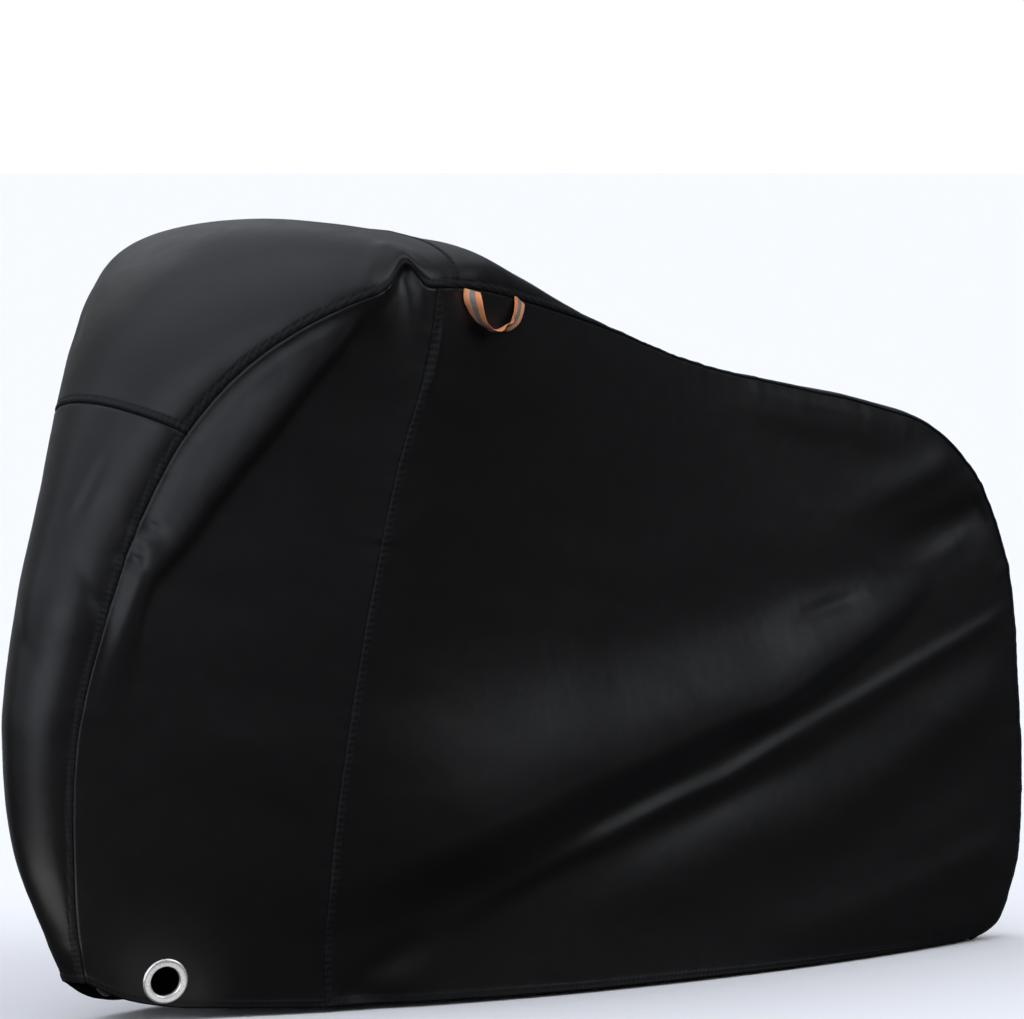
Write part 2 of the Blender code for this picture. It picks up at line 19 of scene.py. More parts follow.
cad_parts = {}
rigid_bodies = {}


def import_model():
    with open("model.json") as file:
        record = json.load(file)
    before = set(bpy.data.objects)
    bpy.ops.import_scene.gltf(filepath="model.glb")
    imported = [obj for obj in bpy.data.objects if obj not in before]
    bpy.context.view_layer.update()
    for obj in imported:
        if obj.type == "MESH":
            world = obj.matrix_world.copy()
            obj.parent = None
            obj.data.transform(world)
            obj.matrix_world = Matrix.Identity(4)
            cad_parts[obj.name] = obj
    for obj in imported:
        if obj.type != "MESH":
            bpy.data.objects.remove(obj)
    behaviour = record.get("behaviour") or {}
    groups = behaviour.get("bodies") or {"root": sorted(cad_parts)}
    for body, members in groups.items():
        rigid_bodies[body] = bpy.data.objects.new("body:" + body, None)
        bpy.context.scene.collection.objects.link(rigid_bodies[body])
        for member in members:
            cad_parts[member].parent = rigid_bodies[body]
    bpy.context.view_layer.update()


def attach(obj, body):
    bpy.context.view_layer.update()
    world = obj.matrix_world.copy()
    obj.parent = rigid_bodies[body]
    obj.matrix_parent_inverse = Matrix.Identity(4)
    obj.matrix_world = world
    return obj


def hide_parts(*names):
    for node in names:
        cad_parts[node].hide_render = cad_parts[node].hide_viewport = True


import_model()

MM = 0.001
Triple = tuple[float, float, float]
log = logging.getLogger("bicycle cover")


class Side(Enum):
    """The two sides of the cover, by the sign of Y."""

    LEFT = -1
    RIGHT = 1

    @property
    def word(self) -> str:
        """The side's word in the names of pieces."""
        return self.name.lower()


class Slot(Enum):
    """The record's slots for finishes."""

    CLOTH = "cloth"
    METAL = "eyelet_metal"
    WEBBING = "webbing"


# ---- shader maths

class Flow:
    """One output of a shader's nodes, and the sums that are written on it."""

    def __init__(self, graph: "Graph", socket: bpy.types.NodeSocket) -> None:
        """Keeps the graph and the socket."""
        self.graph = graph
        self.socket = socket

    def __add__(self, other: "Term") -> "Flow":
        """The sum."""
        return self.graph.maths("ADD", self, other)

    __radd__ = __add__

    def __sub__(self, other: "Term") -> "Flow":
        """The difference."""
        return self.graph.maths("SUBTRACT", self, other)

    def __rsub__(self, other: "Term") -> "Flow":
        """The difference, with a number first."""
        return self.graph.maths("SUBTRACT", other, self)

    def __mul__(self, other: "Term") -> "Flow":
        """The product."""
        return self.graph.maths("MULTIPLY", self, other)

    __rmul__ = __mul__

    def __truediv__(self, other: "Term") -> "Flow":
        """The quotient."""
        return self.graph.maths("DIVIDE", self, other)

    def sine(self) -> "Flow":
        """The sine, for what repeats."""
        return self.graph.maths("SINE", self)

    def size(self) -> "Flow":
        """The value without its sign."""
        return self.graph.maths("ABSOLUTE", self)


Term = Union[Flow, float, int]


class Graph:
    """The nodes of one finish or of the studio's air."""

    def __init__(self, tree: bpy.types.NodeTree) -> None:
        """Empties the tree.

        Args:
            tree: the node tree of a material or of the world.
        """
        self.tree = tree
        tree.nodes.clear()

    def add(self, kind: str, settings: Optional[dict[str, Any]] = None,
            inputs: Optional[dict[Any, Any]] = None, output: Any = 0) -> Flow:
        """Adds any node.

        Args:
            kind: the node's type.
            settings: its own settings, set first; "stops" are a ramp's places and greys or colours.
            inputs: the value or link of each socket, by the socket's name or number.
            output: the name or number of the socket that is handed back.

        Returns:
            The chosen output.
        """
        node = self.tree.nodes.new(kind)
        for key, value in (settings or {}).items():
            if key == "stops":
                self.set_stops(node.color_ramp, value)
            else:
                setattr(node, key, value)
        for key, value in (inputs or {}).items():
            self.feed(node.inputs[key], value)
        return Flow(self, node.outputs[output])

    def set_stops(self, ramp: bpy.types.ColorRamp, stops: Sequence[tuple[float, Any]]) -> None:
        """Gives a ramp its stops.

        Args:
            ramp: the ramp.
            stops: each stop's place and its grey or its colour.
        """
        while len(ramp.elements) < len(stops):
            ramp.elements.new(0.5)
        for element, (place, colour) in zip(ramp.elements, stops):
            element.position = place
            shade = (colour,) * 3 if isinstance(colour, (int, float)) else colour
            element.color = (*shade, 1.0)

    def feed(self, socket: bpy.types.NodeSocket, value: Any) -> None:
        """Links a flow to a socket, or sets the socket's own value.

        Args:
            socket: the socket.
            value: the flow or the value.
        """
        if isinstance(value, Flow):
            self.tree.links.new(value.socket, socket)
        elif isinstance(value, tuple) and socket.type == "RGBA" and len(value) == 3:
            socket.default_value = (*value, 1.0)
        else:
            socket.default_value = value

    def maths(self, operation: str, *terms: Term) -> Flow:
        """One Math node on values."""
        return self.add("ShaderNodeMath", {"operation": operation}, dict(enumerate(terms)))

    def blend(self, share: Term, first: Any, second: Any) -> Flow:
        """A colour between two colours."""
        return self.add("ShaderNodeMix", {"data_type": "RGBA"}, {0: share, 6: first, 7: second}, 2)

    def scaled(self, vector: Flow, scale: Triple) -> Flow:
        """A vector times a scale along each axis."""
        return self.add("ShaderNodeVectorMath", {"operation": "MULTIPLY"}, {0: vector, 1: scale})

    def noise(self, vector: Flow, scale: float, detail: float = 2.0) -> Flow:
        """Soft random values from 0 to 1."""
        inputs = {"Vector": vector, "Scale": scale, "Detail": detail}
        return self.add("ShaderNodeTexNoise", None, inputs, "Fac")

    def ramp(self, value: Flow, stops: Sequence[tuple[float, Any]]) -> Flow:
        """A value sent through a ramp's stops."""
        return self.add("ShaderNodeValToRGB", {"stops": stops}, {"Fac": value}, "Color")

    def bump(self, height: Flow, distance: float, strength: float, normal: Optional[Flow] = None) -> Flow:
        """The surface's normal over a height.

        Args:
            height: the height, as a share of the distance.
            distance: the height's full size.
            strength: how much of it shows.
            normal: the normal that it is laid over.

        Returns:
            The normal.
        """
        inputs = {"Height": height, "Distance": distance, "Strength": strength}
        if normal is not None:
            inputs["Normal"] = normal
        return self.add("ShaderNodeBump", None, inputs, "Normal")

    def place(self) -> Flow:
        """The place on the object, in metres."""
        return self.add("ShaderNodeTexCoord", None, None, "Object")

    def cut(self) -> tuple[Flow, Flow, Flow]:
        """The place on the flat cut, in metres.

        Returns:
            Both lengths together, then the length along it and the length across it.
        """
        both = self.add("ShaderNodeUVMap", {"uv_map": "cut"})
        split = self.add("ShaderNodeSeparateXYZ", None, {0: both}, "X")
        across = Flow(self, split.socket.node.outputs["Y"])
        return both, split, across

    def surface(self, inputs: dict[str, Any]) -> None:
        """Ends the graph in one shader.

        Args:
            inputs: the value or link of each of the shader's sockets.
        """
        shader = self.add("ShaderNodeBsdfPrincipled", None, inputs, "BSDF")
        end = self.tree.nodes.new("ShaderNodeOutputMaterial")
        self.feed(end.inputs["Surface"], shader)


def new_finish(name: str, flat: Triple) -> tuple[bpy.types.Material, Graph]:
    """Starts a finish.

    Args:
        name: the finish's name.
        flat: the colour that stands for it in a plain view.

    Returns:
        The material and its empty graph.
    """
    material = bpy.data.materials.new(name)
    material.use_nodes = True
    material.diffuse_color = (*flat, 1.0)
    return material, Graph(material.node_tree)


# ---- finishes

@dataclass(frozen=True)
class CoatedCloth:
    """Black rainproof cloth: a fine plain weave under a thin satin coating."""

    name: str = "coated black cloth"
    colour: Triple = (0.0078, 0.0076, 0.0075)
    worn: Triple = (0.0110, 0.0109, 0.0110)
    roughness: float = 0.40
    # the sewn bands' colour: pressed cloth, painted darker as the shade in the seam grooves
    pressed: Triple = (0.0045, 0.0046, 0.0052)
    thread: float = 0.85 * MM
    weave_depth: float = 0.05 * MM
    cockle_depth: float = 1.1 * MM
    pucker: float = 8.8 * MM      # the length of a pucker along a sewn band
    pucker_depth: float = 0.45 * MM
    cloud_scale: float = 7.0      # how many to a metre: soft clouds of wear, rubbed patches, cockles, slubs
    rub_scale: float = 38.0
    cockle_scale: float = 55.0
    slub_scale: float = 90.0

    def material(self) -> bpy.types.Material:
        """Makes the finish.

        Returns:
            The material.
        """
        made, g = new_finish(self.name, self.colour)
        both, along, across = g.cut()
        place = g.place()
        turn = 2 * pi / self.thread
        weave = (along * turn).sine() * (across * turn).sine()
        slubs = g.noise(g.scaled(both, (1.0, 14.0, 1.0)), self.slub_scale)
        clouds = g.noise(place, self.cloud_scale, 3.0)
        rubbed = g.noise(place, self.rub_scale, 4.0)
        wear = g.ramp(rubbed, [(0.45, 0.0), (0.75, 1.0)])
        tone = g.blend(clouds * 0.6 + slubs * 0.25, self.colour, self.worn)
        cockle = g.noise(place, self.cockle_scale, 3.0)
        sewn = g.add("ShaderNodeAttribute", {"attribute_name": "sewn"}, None, "Fac")
        drawn = 2 * pi / self.pucker
        puckers = sewn * ((along * drawn).sine() + (across * drawn).sine()) * (0.4 + rubbed)
        fine = g.bump(weave, self.weave_depth, 0.35)
        uneven = g.bump(cockle, self.cockle_depth, 0.35, fine)
        normal = g.bump(puckers, self.pucker_depth, 0.6, uneven)
        g.surface({
            # painted shade: the sewn bands beside the seams take the darker pressed colour
            "Base Color": g.blend(sewn, tone, self.pressed),
            "Roughness": self.roughness - 0.08 * clouds + 0.05 * wear + 0.02 * weave + 0.30 * sewn,
            "IOR": 1.45,
            "Specular IOR Level": 0.27,
            "Sheen Weight": 0.02,
            "Sheen Roughness": 0.42,
            "Sheen Tint": (0.80, 0.86, 1.0),
            "Normal": normal,
        })
        return made


@dataclass(frozen=True)
class SewingThread:
    """Black polyester sewing thread, with its twist."""

    name: str = "black sewing thread"
    colour: Triple = (0.0065, 0.0067, 0.0075)
    pale: Triple = (0.0120, 0.0124, 0.0140)
    twists: float = 9.0           # turns of the thread over one step of its noise

    def material(self) -> bpy.types.Material:
        """Makes the finish.

        Returns:
            The material.
        """
        made, g = new_finish(self.name, self.colour)
        place = g.place()
        twist = (g.noise(place, 900.0, 1.0) * self.twists).sine()
        g.surface({
            "Base Color": g.blend(g.noise(place, 60.0), self.colour, self.pale),
            "Roughness": 0.5 + 0.1 * twist,
            "Specular IOR Level": 0.2,
            "Sheen Weight": 0.03,
            "Normal": g.bump(twist, 0.06 * MM, 0.5),
        })
        return made


@dataclass(frozen=True)
class NickelPlate:
    """Bright nickel on the pressed eyelets, with faint rubbing from a lock's shackle."""

    name: str = "nickel-plated eyelet"
    colour: Triple = (0.92, 0.91, 0.89)
    dull: Triple = (0.78, 0.77, 0.75)

    def material(self) -> bpy.types.Material:
        """Makes the finish.

        Returns:
            The material.
        """
        made, g = new_finish(self.name, self.colour)
        place = g.place()
        stain = g.noise(place, 120.0, 4.0)
        scratch = g.noise(g.scaled(place, (1.0, 1.0, 9.0)), 420.0, 3.0)
        rub = g.ramp(scratch, [(0.55, 0.0), (0.70, 1.0)])
        g.surface({
            "Base Color": g.blend(stain, self.colour, self.dull),
            "Metallic": 0.6,
            "Roughness": 0.22 + 0.14 * stain + 0.10 * rub,
            "Normal": g.bump(scratch, 0.05 * MM, 0.25),
        })
        return made


@dataclass(frozen=True)
class StripedWebbing:
    """Woven orange webbing with a grey reflective stripe down its middle."""

    width: float
    name: str = "orange and grey webbing"
    # two copies of one orange: the near edge painted darker and the far edge painted lighter, as light and
    # shade across the band
    near: Triple = (0.80, 0.235, 0.055)
    far: Triple = (0.80, 0.30, 0.115)
    grey: Triple = (0.215, 0.185, 0.165)
    faded: Triple = (0.90, 0.46, 0.24)
    rib: float = 1.5 * MM
    stripe: float = 0.17          # half of the grey stripe, as a share of the width
    soft: float = 0.012           # how softly it ends

    def material(self) -> bpy.types.Material:
        """Makes the finish.

        Returns:
            The material.
        """
        made, g = new_finish(self.name, self.near)
        _, along, across = g.cut()
        place = g.place()
        share = across / self.width
        band = g.ramp((share - 0.5).size(), [(self.stripe - self.soft, 1.0), (self.stripe + self.soft, 0.0)])
        # painted light and shade: the orange runs from the lighter far colour at one edge to the darker near
        # colour at the other
        orange = g.blend(g.ramp(share, [(0.35, 0.0), (0.65, 1.0)]), self.far, self.near)
        turn = 2 * pi / self.rib
        ribs = (along * turn).sine() * (across * turn).sine()
        fuzz = g.noise(place, 500.0, 3.0)
        faded = g.blend(fuzz * 0.35, orange, self.faded)
        g.surface({
            "Base Color": g.blend(band, faded, self.grey),
            "Roughness": 0.62 - 0.18 * band + 0.08 * fuzz,
            "Sheen Weight": 0.15,
            "Normal": g.bump(ribs + 0.5 * fuzz, 0.22 * MM, 0.6),
        })
        return made


@dataclass(frozen=True)
class PaleFloor:
    """The studio's plain pale floor."""

    name: str = "pale floor"
    colour: Triple = (0.90, 0.90, 0.90)

    def material(self) -> bpy.types.Material:
        """Makes the finish.

        Returns:
            The material.
        """
        made, g = new_finish(self.name, self.colour)
        g.surface({"Base Color": self.colour, "Roughness": 1.0, "Specular IOR Level": 0.0})
        return made


# ---- curves and noise

class Station(NamedTuple):
    """A place along the seam line and the arch of the strip there."""

    name: str
    x: float
    z: float
    half: float            # distance from the middle plane
    crown: float           # how far the strip stands above the seam line
    fullness: float = 2.0  # 2 for an elliptic arch, more for a squarer one
    left: float = 0.0      # what the left half adds to it


class Point(NamedTuple):
    """A place along a hem or the upright seam."""

    name: str
    x: float
    z: float
    half: float


class Fold(NamedTuple):
    """A fold of a side panel, along its crest from the rear to the front or from the top down.

    Each place of the crest has, in millimetres, its x and z, its height (less than 0 along a trough), and
    the reach of its upper or front flank and of its lower or rear flank.
    """

    name: str
    ends: tuple[float, float]            # the shares of its length over which it fades in and out
    crest: tuple[tuple[int, ...], ...]
    plane: bool = False                  # its flanks are even slopes, not rounded ones


class Crease(NamedTuple):
    """A small crease or swell anywhere in the cloth, in millimetres."""

    name: str
    height: float                        # less than 0 for a trough
    width: float                         # from its middle to its flank
    path: tuple[Triple, ...]


class Pull(NamedTuple):
    """A place where a seam is drawn out of its line into a peak, in millimetres."""

    name: str
    place: Triple
    way: Triple
    front: float                         # reach towards the front
    rear: float
    height: float                        # reach up and down
    side: float                          # reach to the left and right


class Wave(NamedTuple):
    """One size of the cloth's soft unevenness."""

    seed: int
    per_metre: Triple
    shift: float                         # keeps its places in the noise above 0
    height: float                        # in millimetres


def add_object(name: str, data: Any) -> bpy.types.Object:
    """Puts an object into the scene.

    Args:
        name: the object's name.
        data: its mesh, lamp or camera.

    Returns:
        The object.
    """
    made = bpy.data.objects.new(name, data)
    bpy.context.scene.collection.objects.link(made)
    return made


def numbers(rows: Sequence[tuple]) -> np.ndarray:
    """The rows' measures, without their names."""
    return np.array([row[1:] for row in rows], float)


def ease(value: np.ndarray) -> np.ndarray:
    """A soft step from 0 to 1 as the value goes from 0 to 1."""
    value = np.clip(value, 0, 1)
    return value * value * (3 - 2 * value)


def running(path: np.ndarray) -> np.ndarray:
    """The length of a path as far as each of its points."""
    return np.r_[0, np.cumsum(np.linalg.norm(np.diff(path, axis=0), axis=1))]


def unit(ways: np.ndarray) -> np.ndarray:
    """The same directions at length 1."""
    return ways / np.maximum(np.linalg.norm(ways, axis=-1, keepdims=True), 1e-12)


def read_off(where: np.ndarray, places: np.ndarray, rows: np.ndarray) -> np.ndarray:
    """Measures at places between those where they are known."""
    return np.stack([np.interp(where, places, column) for column in rows.T], -1)


def bell(away: np.ndarray, width: float) -> np.ndarray:
    """1 at no distance, and softly down to nothing a few widths away."""
    return np.exp(-(away / width) ** 2)


def shelf(away: np.ndarray, rise: float, end: float, fall: float) -> np.ndarray:
    """A level from 0 up to 1 over the rise, and back to 0 at the end over the fall."""
    return ease(away / rise) * ease((end - away) / fall)


class Cells(NamedTuple):
    """How a length is cut into cells, which are smaller near its ends."""

    count: int
    fine_start: int        # how many cells it takes to reach the full size from the start
    fine_end: int          # the same from the end
    finest: float = 0.35   # the end cells' size as a share of a full one

    def shares(self) -> np.ndarray:
        """Where the cells meet.

        Returns:
            Shares of the length, from 0 to 1.
        """
        k = np.arange(self.count)
        size = np.ones(self.count)
        for cells, fine in ((k, self.fine_start), (k[::-1], self.fine_end)):
            size *= self.finest + (1 - self.finest) * ease(cells / fine - 0.4)
        return np.r_[0, np.cumsum(size)] / size.sum()


class Curve:
    """A smooth curve through rows of measures, spaced by the first three, which are lengths."""

    FINE = 900

    def __init__(self, rows: np.ndarray) -> None:
        """Finds the curve's slopes at its rows.

        Args:
            rows: the measures, one row for each of three places or more.
        """
        self.rows = rows
        self.step = np.linalg.norm(np.diff(rows[:, :3], axis=0), axis=1)[:, None]
        slope = np.diff(rows, axis=0) / self.step
        tangent = np.empty_like(rows)
        ahead, behind = self.step[1:], self.step[:-1]
        tangent[1:-1] = (slope[:-1] * ahead + slope[1:] * behind) / (ahead + behind)
        tangent[0] = (3 * slope[0] - tangent[1]) / 2
        tangent[-1] = (3 * slope[-1] - tangent[-2]) / 2
        self.tangent = tangent

    def at(self, where: np.ndarray) -> np.ndarray:
        """The curve's measures between its rows.

        Args:
            where: row numbers, which may be fractions.

        Returns:
            One row for each of them.
        """
        where = np.asarray(where, float)
        i = np.clip(where.astype(int), 0, len(self.rows) - 2)
        f = (where - i)[:, None]
        rise = 3 * f ** 2 - 2 * f ** 3
        lead = (f ** 3 - 2 * f ** 2 + f) * self.step[i] * self.tangent[i]
        trail = (f ** 3 - f ** 2) * self.step[i] * self.tangent[i + 1]
        return (1 - rise) * self.rows[i] + rise * self.rows[i + 1] + lead + trail

    def spaced(self, first: float, last: float, along: np.ndarray) -> np.ndarray:
        """Row numbers at shares of the length between two rows.

        Args:
            first: the row number where the length starts.
            last: the row number where it ends.
            along: the shares, from 0 to 1.

        Returns:
            The row numbers.
        """
        fine = np.linspace(first, last, self.FINE)
        length = running(self.at(fine)[:, :3])
        return np.interp(along * length[-1], length, fine)

    def even(self, along: np.ndarray) -> np.ndarray:
        """The measures at shares of the whole curve's length."""
        return self.at(self.spaced(0, len(self.rows) - 1, along))


class Noise:
    """Smooth seeded noise from -1 to 1, drawn from a lattice of random numbers."""

    SIZE = 40

    def __init__(self, seed: int) -> None:
        """Fills the lattice."""
        self.lattice = np.random.default_rng(seed).uniform(-1, 1, (self.SIZE,) * 3)

    def at(self, places: np.ndarray) -> np.ndarray:
        """The noise at places given in lattice steps.

        Args:
            places: one row of three numbers for each place.

        Returns:
            One value for each place.
        """
        base = np.floor(places).astype(int)
        f = ease(places - base)
        total = np.zeros(len(places))
        for corner in np.ndindex(2, 2, 2):
            weight = np.prod(np.where(corner, f, 1 - f), axis=1)
            i, j, k = ((base + corner) % self.SIZE).T
            total += weight * self.lattice[i, j, k]
        return total


def ripple(along: np.ndarray, length: float, seed: int) -> np.ndarray:
    """An uneven row of small waves from -1 to 1 along a length.

    Args:
        along: the place along the length.
        length: the waves' usual length.
        seed: the seed of their unevenness.

    Returns:
        One value for each place.
    """
    places = np.stack([along / length, np.full_like(along, 0.5), np.full_like(along, 0.5 + seed)], 1)
    return Noise(seed).at(places * (2, 1, 1))


# ---- the pattern: seams, hems and folds

# The seam line, from the front hem over the bar to the rear hem
SEAM_LINE = [
    Station("front hem", -0.870, 0.055, 0.024, 0.003),
    Station("tyre low", -0.892, 0.124, 0.033, 0.018),
    Station("tyre front", -0.914, 0.240, 0.050, 0.050),
    Station("tyre top", -0.916, 0.400, 0.062, 0.066, 2.0, -0.25),
    Station("above tyre", -0.882, 0.555, 0.078, 0.070, 2.0, -0.35),
    Station("lamp", -0.827, 0.705, 0.096, 0.076, 2.0, -0.45),
    Station("cross seam", -0.772, 0.817, 0.125, 0.084, 2.1, -0.55),
    Station("below bar", -0.708, 0.908, 0.176, 0.092, 2.0, -0.40),
    Station("bar front", -0.633, 0.972, 0.238, 0.096, 2.0, -0.25),
    Station("bar end", -0.540, 1.012, 0.288, 0.094, 2.2, -0.20),
    Station("bar back", -0.455, 1.016, 0.294, 0.087, 2.4),
    Station("hood back", -0.405, 1.015, 0.287, 0.080, 2.4, 0.3),
    Station("loop", -0.334, 1.008, 0.268, 0.073, 2.4, 0.7),
    Station("stem", -0.230, 0.990, 0.236, 0.053, 2.3, 0.8),
    Station("top tube", -0.036, 0.950, 0.180, 0.017, 2.0, 0.5),
    Station("saddle nose", 0.221, 0.885, 0.120, 0.010, 2.0, 0.2),
    Station("saddle", 0.450, 0.844, 0.095, 0.012),
    Station("saddle back", 0.606, 0.815, 0.085, 0.014),
    Station("rear shoulder", 0.743, 0.775, 0.080, 0.017),
    Station("rear bend", 0.842, 0.698, 0.075, 0.020),
    Station("rear tyre top", 0.904, 0.588, 0.070, 0.022),
    Station("rear tyre", 0.943, 0.359, 0.062, 0.025),
    Station("rear tyre low", 0.956, 0.230, 0.056, 0.025),
    Station("rear low", 0.947, 0.090, 0.048, 0.018),
    Station("rear turn", 0.915, 0.020, 0.042, 0.009),
    Station("rear hem", 0.875, 0.001, 0.038, 0.003),
]

# The upright seam of a side panel, from the hem to the seam line
UPRIGHT_SEAM = [
    Point("hem", -0.523, 0.005, 0.135),
    Point("low", -0.544, 0.124, 0.155),
    Point("crank", -0.556, 0.290, 0.190),
    Point("down tube", -0.550, 0.430, 0.220),
    Point("head tube", -0.535, 0.590, 0.246),
    Point("lever", -0.501, 0.795, 0.276),
    Point("under bar", -0.468, 0.915, 0.289),
    Point("bar back", -0.455, 1.016, 0.294),
]

# The hem of the front half and of the rear half
FRONT_HEM = [
    Point("front hem", -0.870, 0.055, 0.024),
    Point("corner", -0.814, 0.029, 0.042),
    Point("eyelet", -0.758, 0.017, 0.062),
    Point("behind eyelet", -0.670, 0.011, 0.093),
    Point("upright seam", -0.523, 0.005, 0.135),
]
REAR_HEM = [
    Point("upright seam", -0.523, 0.005, 0.135),
    Point("crank front", -0.370, 0.004, 0.167),
    Point("pedal", -0.142, 0.002, 0.190),
    Point("crank back", 0.100, 0.002, 0.186),
    Point("stay", 0.330, 0.001, 0.163),
    Point("hub", 0.570, 0.001, 0.120),
    Point("rear tyre", 0.760, 0.001, 0.074),
    Point("rear hem", 0.875, 0.001, 0.038),
]

# The folds of a side panel
FOLDS = [
    Fold("shoulder fold", (0.20, 0.55), (
        (830, 752, 5, 24, 22), (740, 714, 6, 28, 24), (656, 690, 6, 34, 26), (540, 664, 4, 40, 30),
        (420, 650, 2, 50, 40))),
    Fold("shoulder trough", (0.20, 0.60), (
        (900, 664, -8, 24, 44), (800, 638, -13, 26, 46), (690, 612, -11, 28, 46), (540, 596, -4, 30, 40))),
    Fold("shoulder edge", (0.30, 0.30), (
        (250, 838, 2, 22, 50), (450, 806, 4, 26, 70), (600, 778, 4, 26, 70), (720, 735, 2, 24, 50))),
    Fold("small fold", (0.25, 0.50), (
        (880, 636, 2, 12, 16), (800, 606, 3, 13, 16), (720, 580, 2, 15, 16), (620, 570, 1, 20, 16),
        (500, 560, 1, 22, 18))),
    Fold("broad band", (0.12, 0.28), (
        (760, 578, 4, 18, 18), (710, 548, 9, 30, 22), (650, 518, 18, 48, 28), (568, 488, 27, 76, 36),
        (440, 443, 34, 104, 46), (300, 394, 37, 120, 40), (233, 384, 38, 124, 46), (155, 368, 39, 132, 54),
        (-10, 330, 42, 150, 62), (-130, 303, 43, 185, 76), (-245, 268, 45, 210, 84),
        (-360, 236, 44, 230, 84), (-480, 204, 38, 240, 90), (-600, 176, 28, 230, 90),
        (-700, 152, 12, 200, 90)), True),
    Fold("sharp fold", (0.08, 0.16), (
        (950, 522, 3, 10, 14), (910, 500, 4, 11, 14), (800, 462, 5, 12, 15), (668, 424, 6, 12, 18),
        (522, 380, 6, 12, 20), (418, 350, 6, 13, 20), (338, 325, 7, 14, 16), (217, 287, 8, 15, 14),
        (120, 266, 9, 16, 14), (28, 241, 10, 18, 14), (-63, 216, 11, 24, 14), (-170, 188, 11, 40, 16),
        (-290, 145, 11, 60, 22), (-400, 100, 8, 70, 26))),
    Fold("trough under the sharp fold", (0.10, 0.35), (
        (920, 458, -1, 12, 22), (800, 420, -1, 13, 22), (668, 386, -1, 14, 24), (418, 304, -3, 15, 26),
        (217, 252, -5, 16, 22), (28, 206, -6, 18, 24), (-140, 162, -5, 20, 26))),
    Fold("soft fold", (0.08, 0.35), (
        (950, 412, 7, 34, 40), (860, 378, 8, 38, 42), (727, 326, 9, 46, 50), (518, 248, 8, 48, 54),
        (314, 206, 7, 48, 56), (120, 160, 7, 44, 56), (-59, 122, 8, 40, 50), (-220, 85, 5, 44, 50))),
    Fold("low trough", (0.20, 0.40), (
        (950, 290, -2, 60, 40), (700, 220, -3, 60, 40), (500, 160, -3, 50, 36), (260, 110, -2, 44, 36))),
    Fold("low fold", (0.12, 0.45), (
        (955, 165, 5, 22, 34), (860, 138, 5, 24, 36), (725, 110, 5, 26, 38), (513, 72, 4, 30, 40),
        (360, 54, 3, 34, 40), (200, 48, 2, 38, 40))),
    Fold("front fold", (0.14, 0.30), (
        (-556, 1006, 3, 18, 12), (-573, 986, 8, 28, 14), (-596, 954, 14, 40, 16), (-638, 896, 19, 56, 18),
        (-699, 804, 22, 64, 20), (-747, 734, 22, 64, 20), (-784, 676, 20, 56, 20), (-834, 610, 15, 44, 20),
        (-862, 494, 11, 36, 24), (-890, 400, 6, 36, 30)), True),
    Fold("bar end trough", (0.12, 0.50), (
        (-562, 1000, -6, 14, 24), (-560, 940, -6, 22, 46), (-552, 821, -5, 30, 60), (-548, 680, -4, 34, 64),
        (-545, 540, -2, 36, 64))),
]

# Small creases and swells, as places on the left side and on the strip
CREASES = [
    Crease("bar end notch", -9.0, 11.0, ((-499, -268, 1044), (-506, -282, 1026), (-522, -290, 1006),
        (-545, -288, 980))),
    Crease("bar end notch, rear leg", -6.0, 7.0, ((-494, -268, 1046), (-484, -284, 1034),
        (-474, -293, 1018))),
    Crease("cloth round the notch", 6.0, 12.0, ((-572, -270, 1022), (-535, -250, 1050), (-500, -238, 1066),
        (-470, -250, 1056), (-446, -278, 1030))),
    Crease("first tuck", -5.0, 4.5, ((-362, -222, 1064), (-385, -252, 1048), (-408, -279, 1026))),
    Crease("second tuck", -5.0, 4.5, ((-366, -246, 1051), (-376, -262, 1040), (-388, -277, 1022))),
    Crease("ridge between tucks", 3.0, 6.0, ((-360, -234, 1058), (-382, -262, 1040), (-398, -280, 1022))),
    Crease("ridge behind tucks", 4.5, 10.0, ((-330, -228, 1052), (-300, -238, 1032), (-262, -240, 1006))),
    Crease("dark eye in the band", -3.8, 11.0, ((400, -150, 512), (470, -140, 527), (550, -130, 542))),
    Crease("gusset swell", 9.0, 55.0, ((-895, -70, 600), (-925, -30, 570), (-935, 10, 540))),
    Crease("gusset hollow", -3.0, 60.0, ((-925, -60, 330), (-955, -30, 300), (-962, 10, 270))),
    Crease("gusset crease", -5.0, 8.0, ((-863, -57, 789), (-884, -48, 745), (-903, -35, 700))),
    Crease("far bar end crease", -3.5, 7.0, ((-713, 159, 983), (-742, 135, 960), (-775, 103, 936))),
    Crease("lever wrinkle", -4.0, 5.0, ((-455, -291, 962), (-463, -290, 925), (-476, -286, 872))),
    Crease("lever wrinkle ridge", 3.5, 6.0, ((-446, -292, 965), (-453, -290, 925), (-466, -286, 870))),
    Crease("heel dip", -7.0, 26.0, ((-495, -144, 30), (-440, -165, 60), (-363, -179, 98))),
    Crease("hem dip", -5.0, 18.0, ((-500, -140, 30), (-455, -150, 15), (-400, -162, 6))),
    Crease("upright streak", 3.0, 9.0, ((-552, -168, 200), (-548, -160, 130), (-530, -143, 45))),
    Crease("lamp pucker one", -5.0, 6.5, ((-846, -94, 700), (-822, -106, 690), (-798, -118, 672))),
    Crease("lamp pucker two", 4.5, 7.0, ((-852, -90, 684), (-828, -102, 668), (-806, -114, 645))),
    Crease("lamp pucker three", -5.0, 6.5, ((-858, -88, 655), (-838, -100, 640), (-818, -110, 612))),
]

# Where the left seam line is drawn up over the end of the bar
BAR_END_PULL = Pull("bar end peak", (-500, -290, 1015), (3, 19, 31), 30.0, 17.0, 55.0, 70.0)

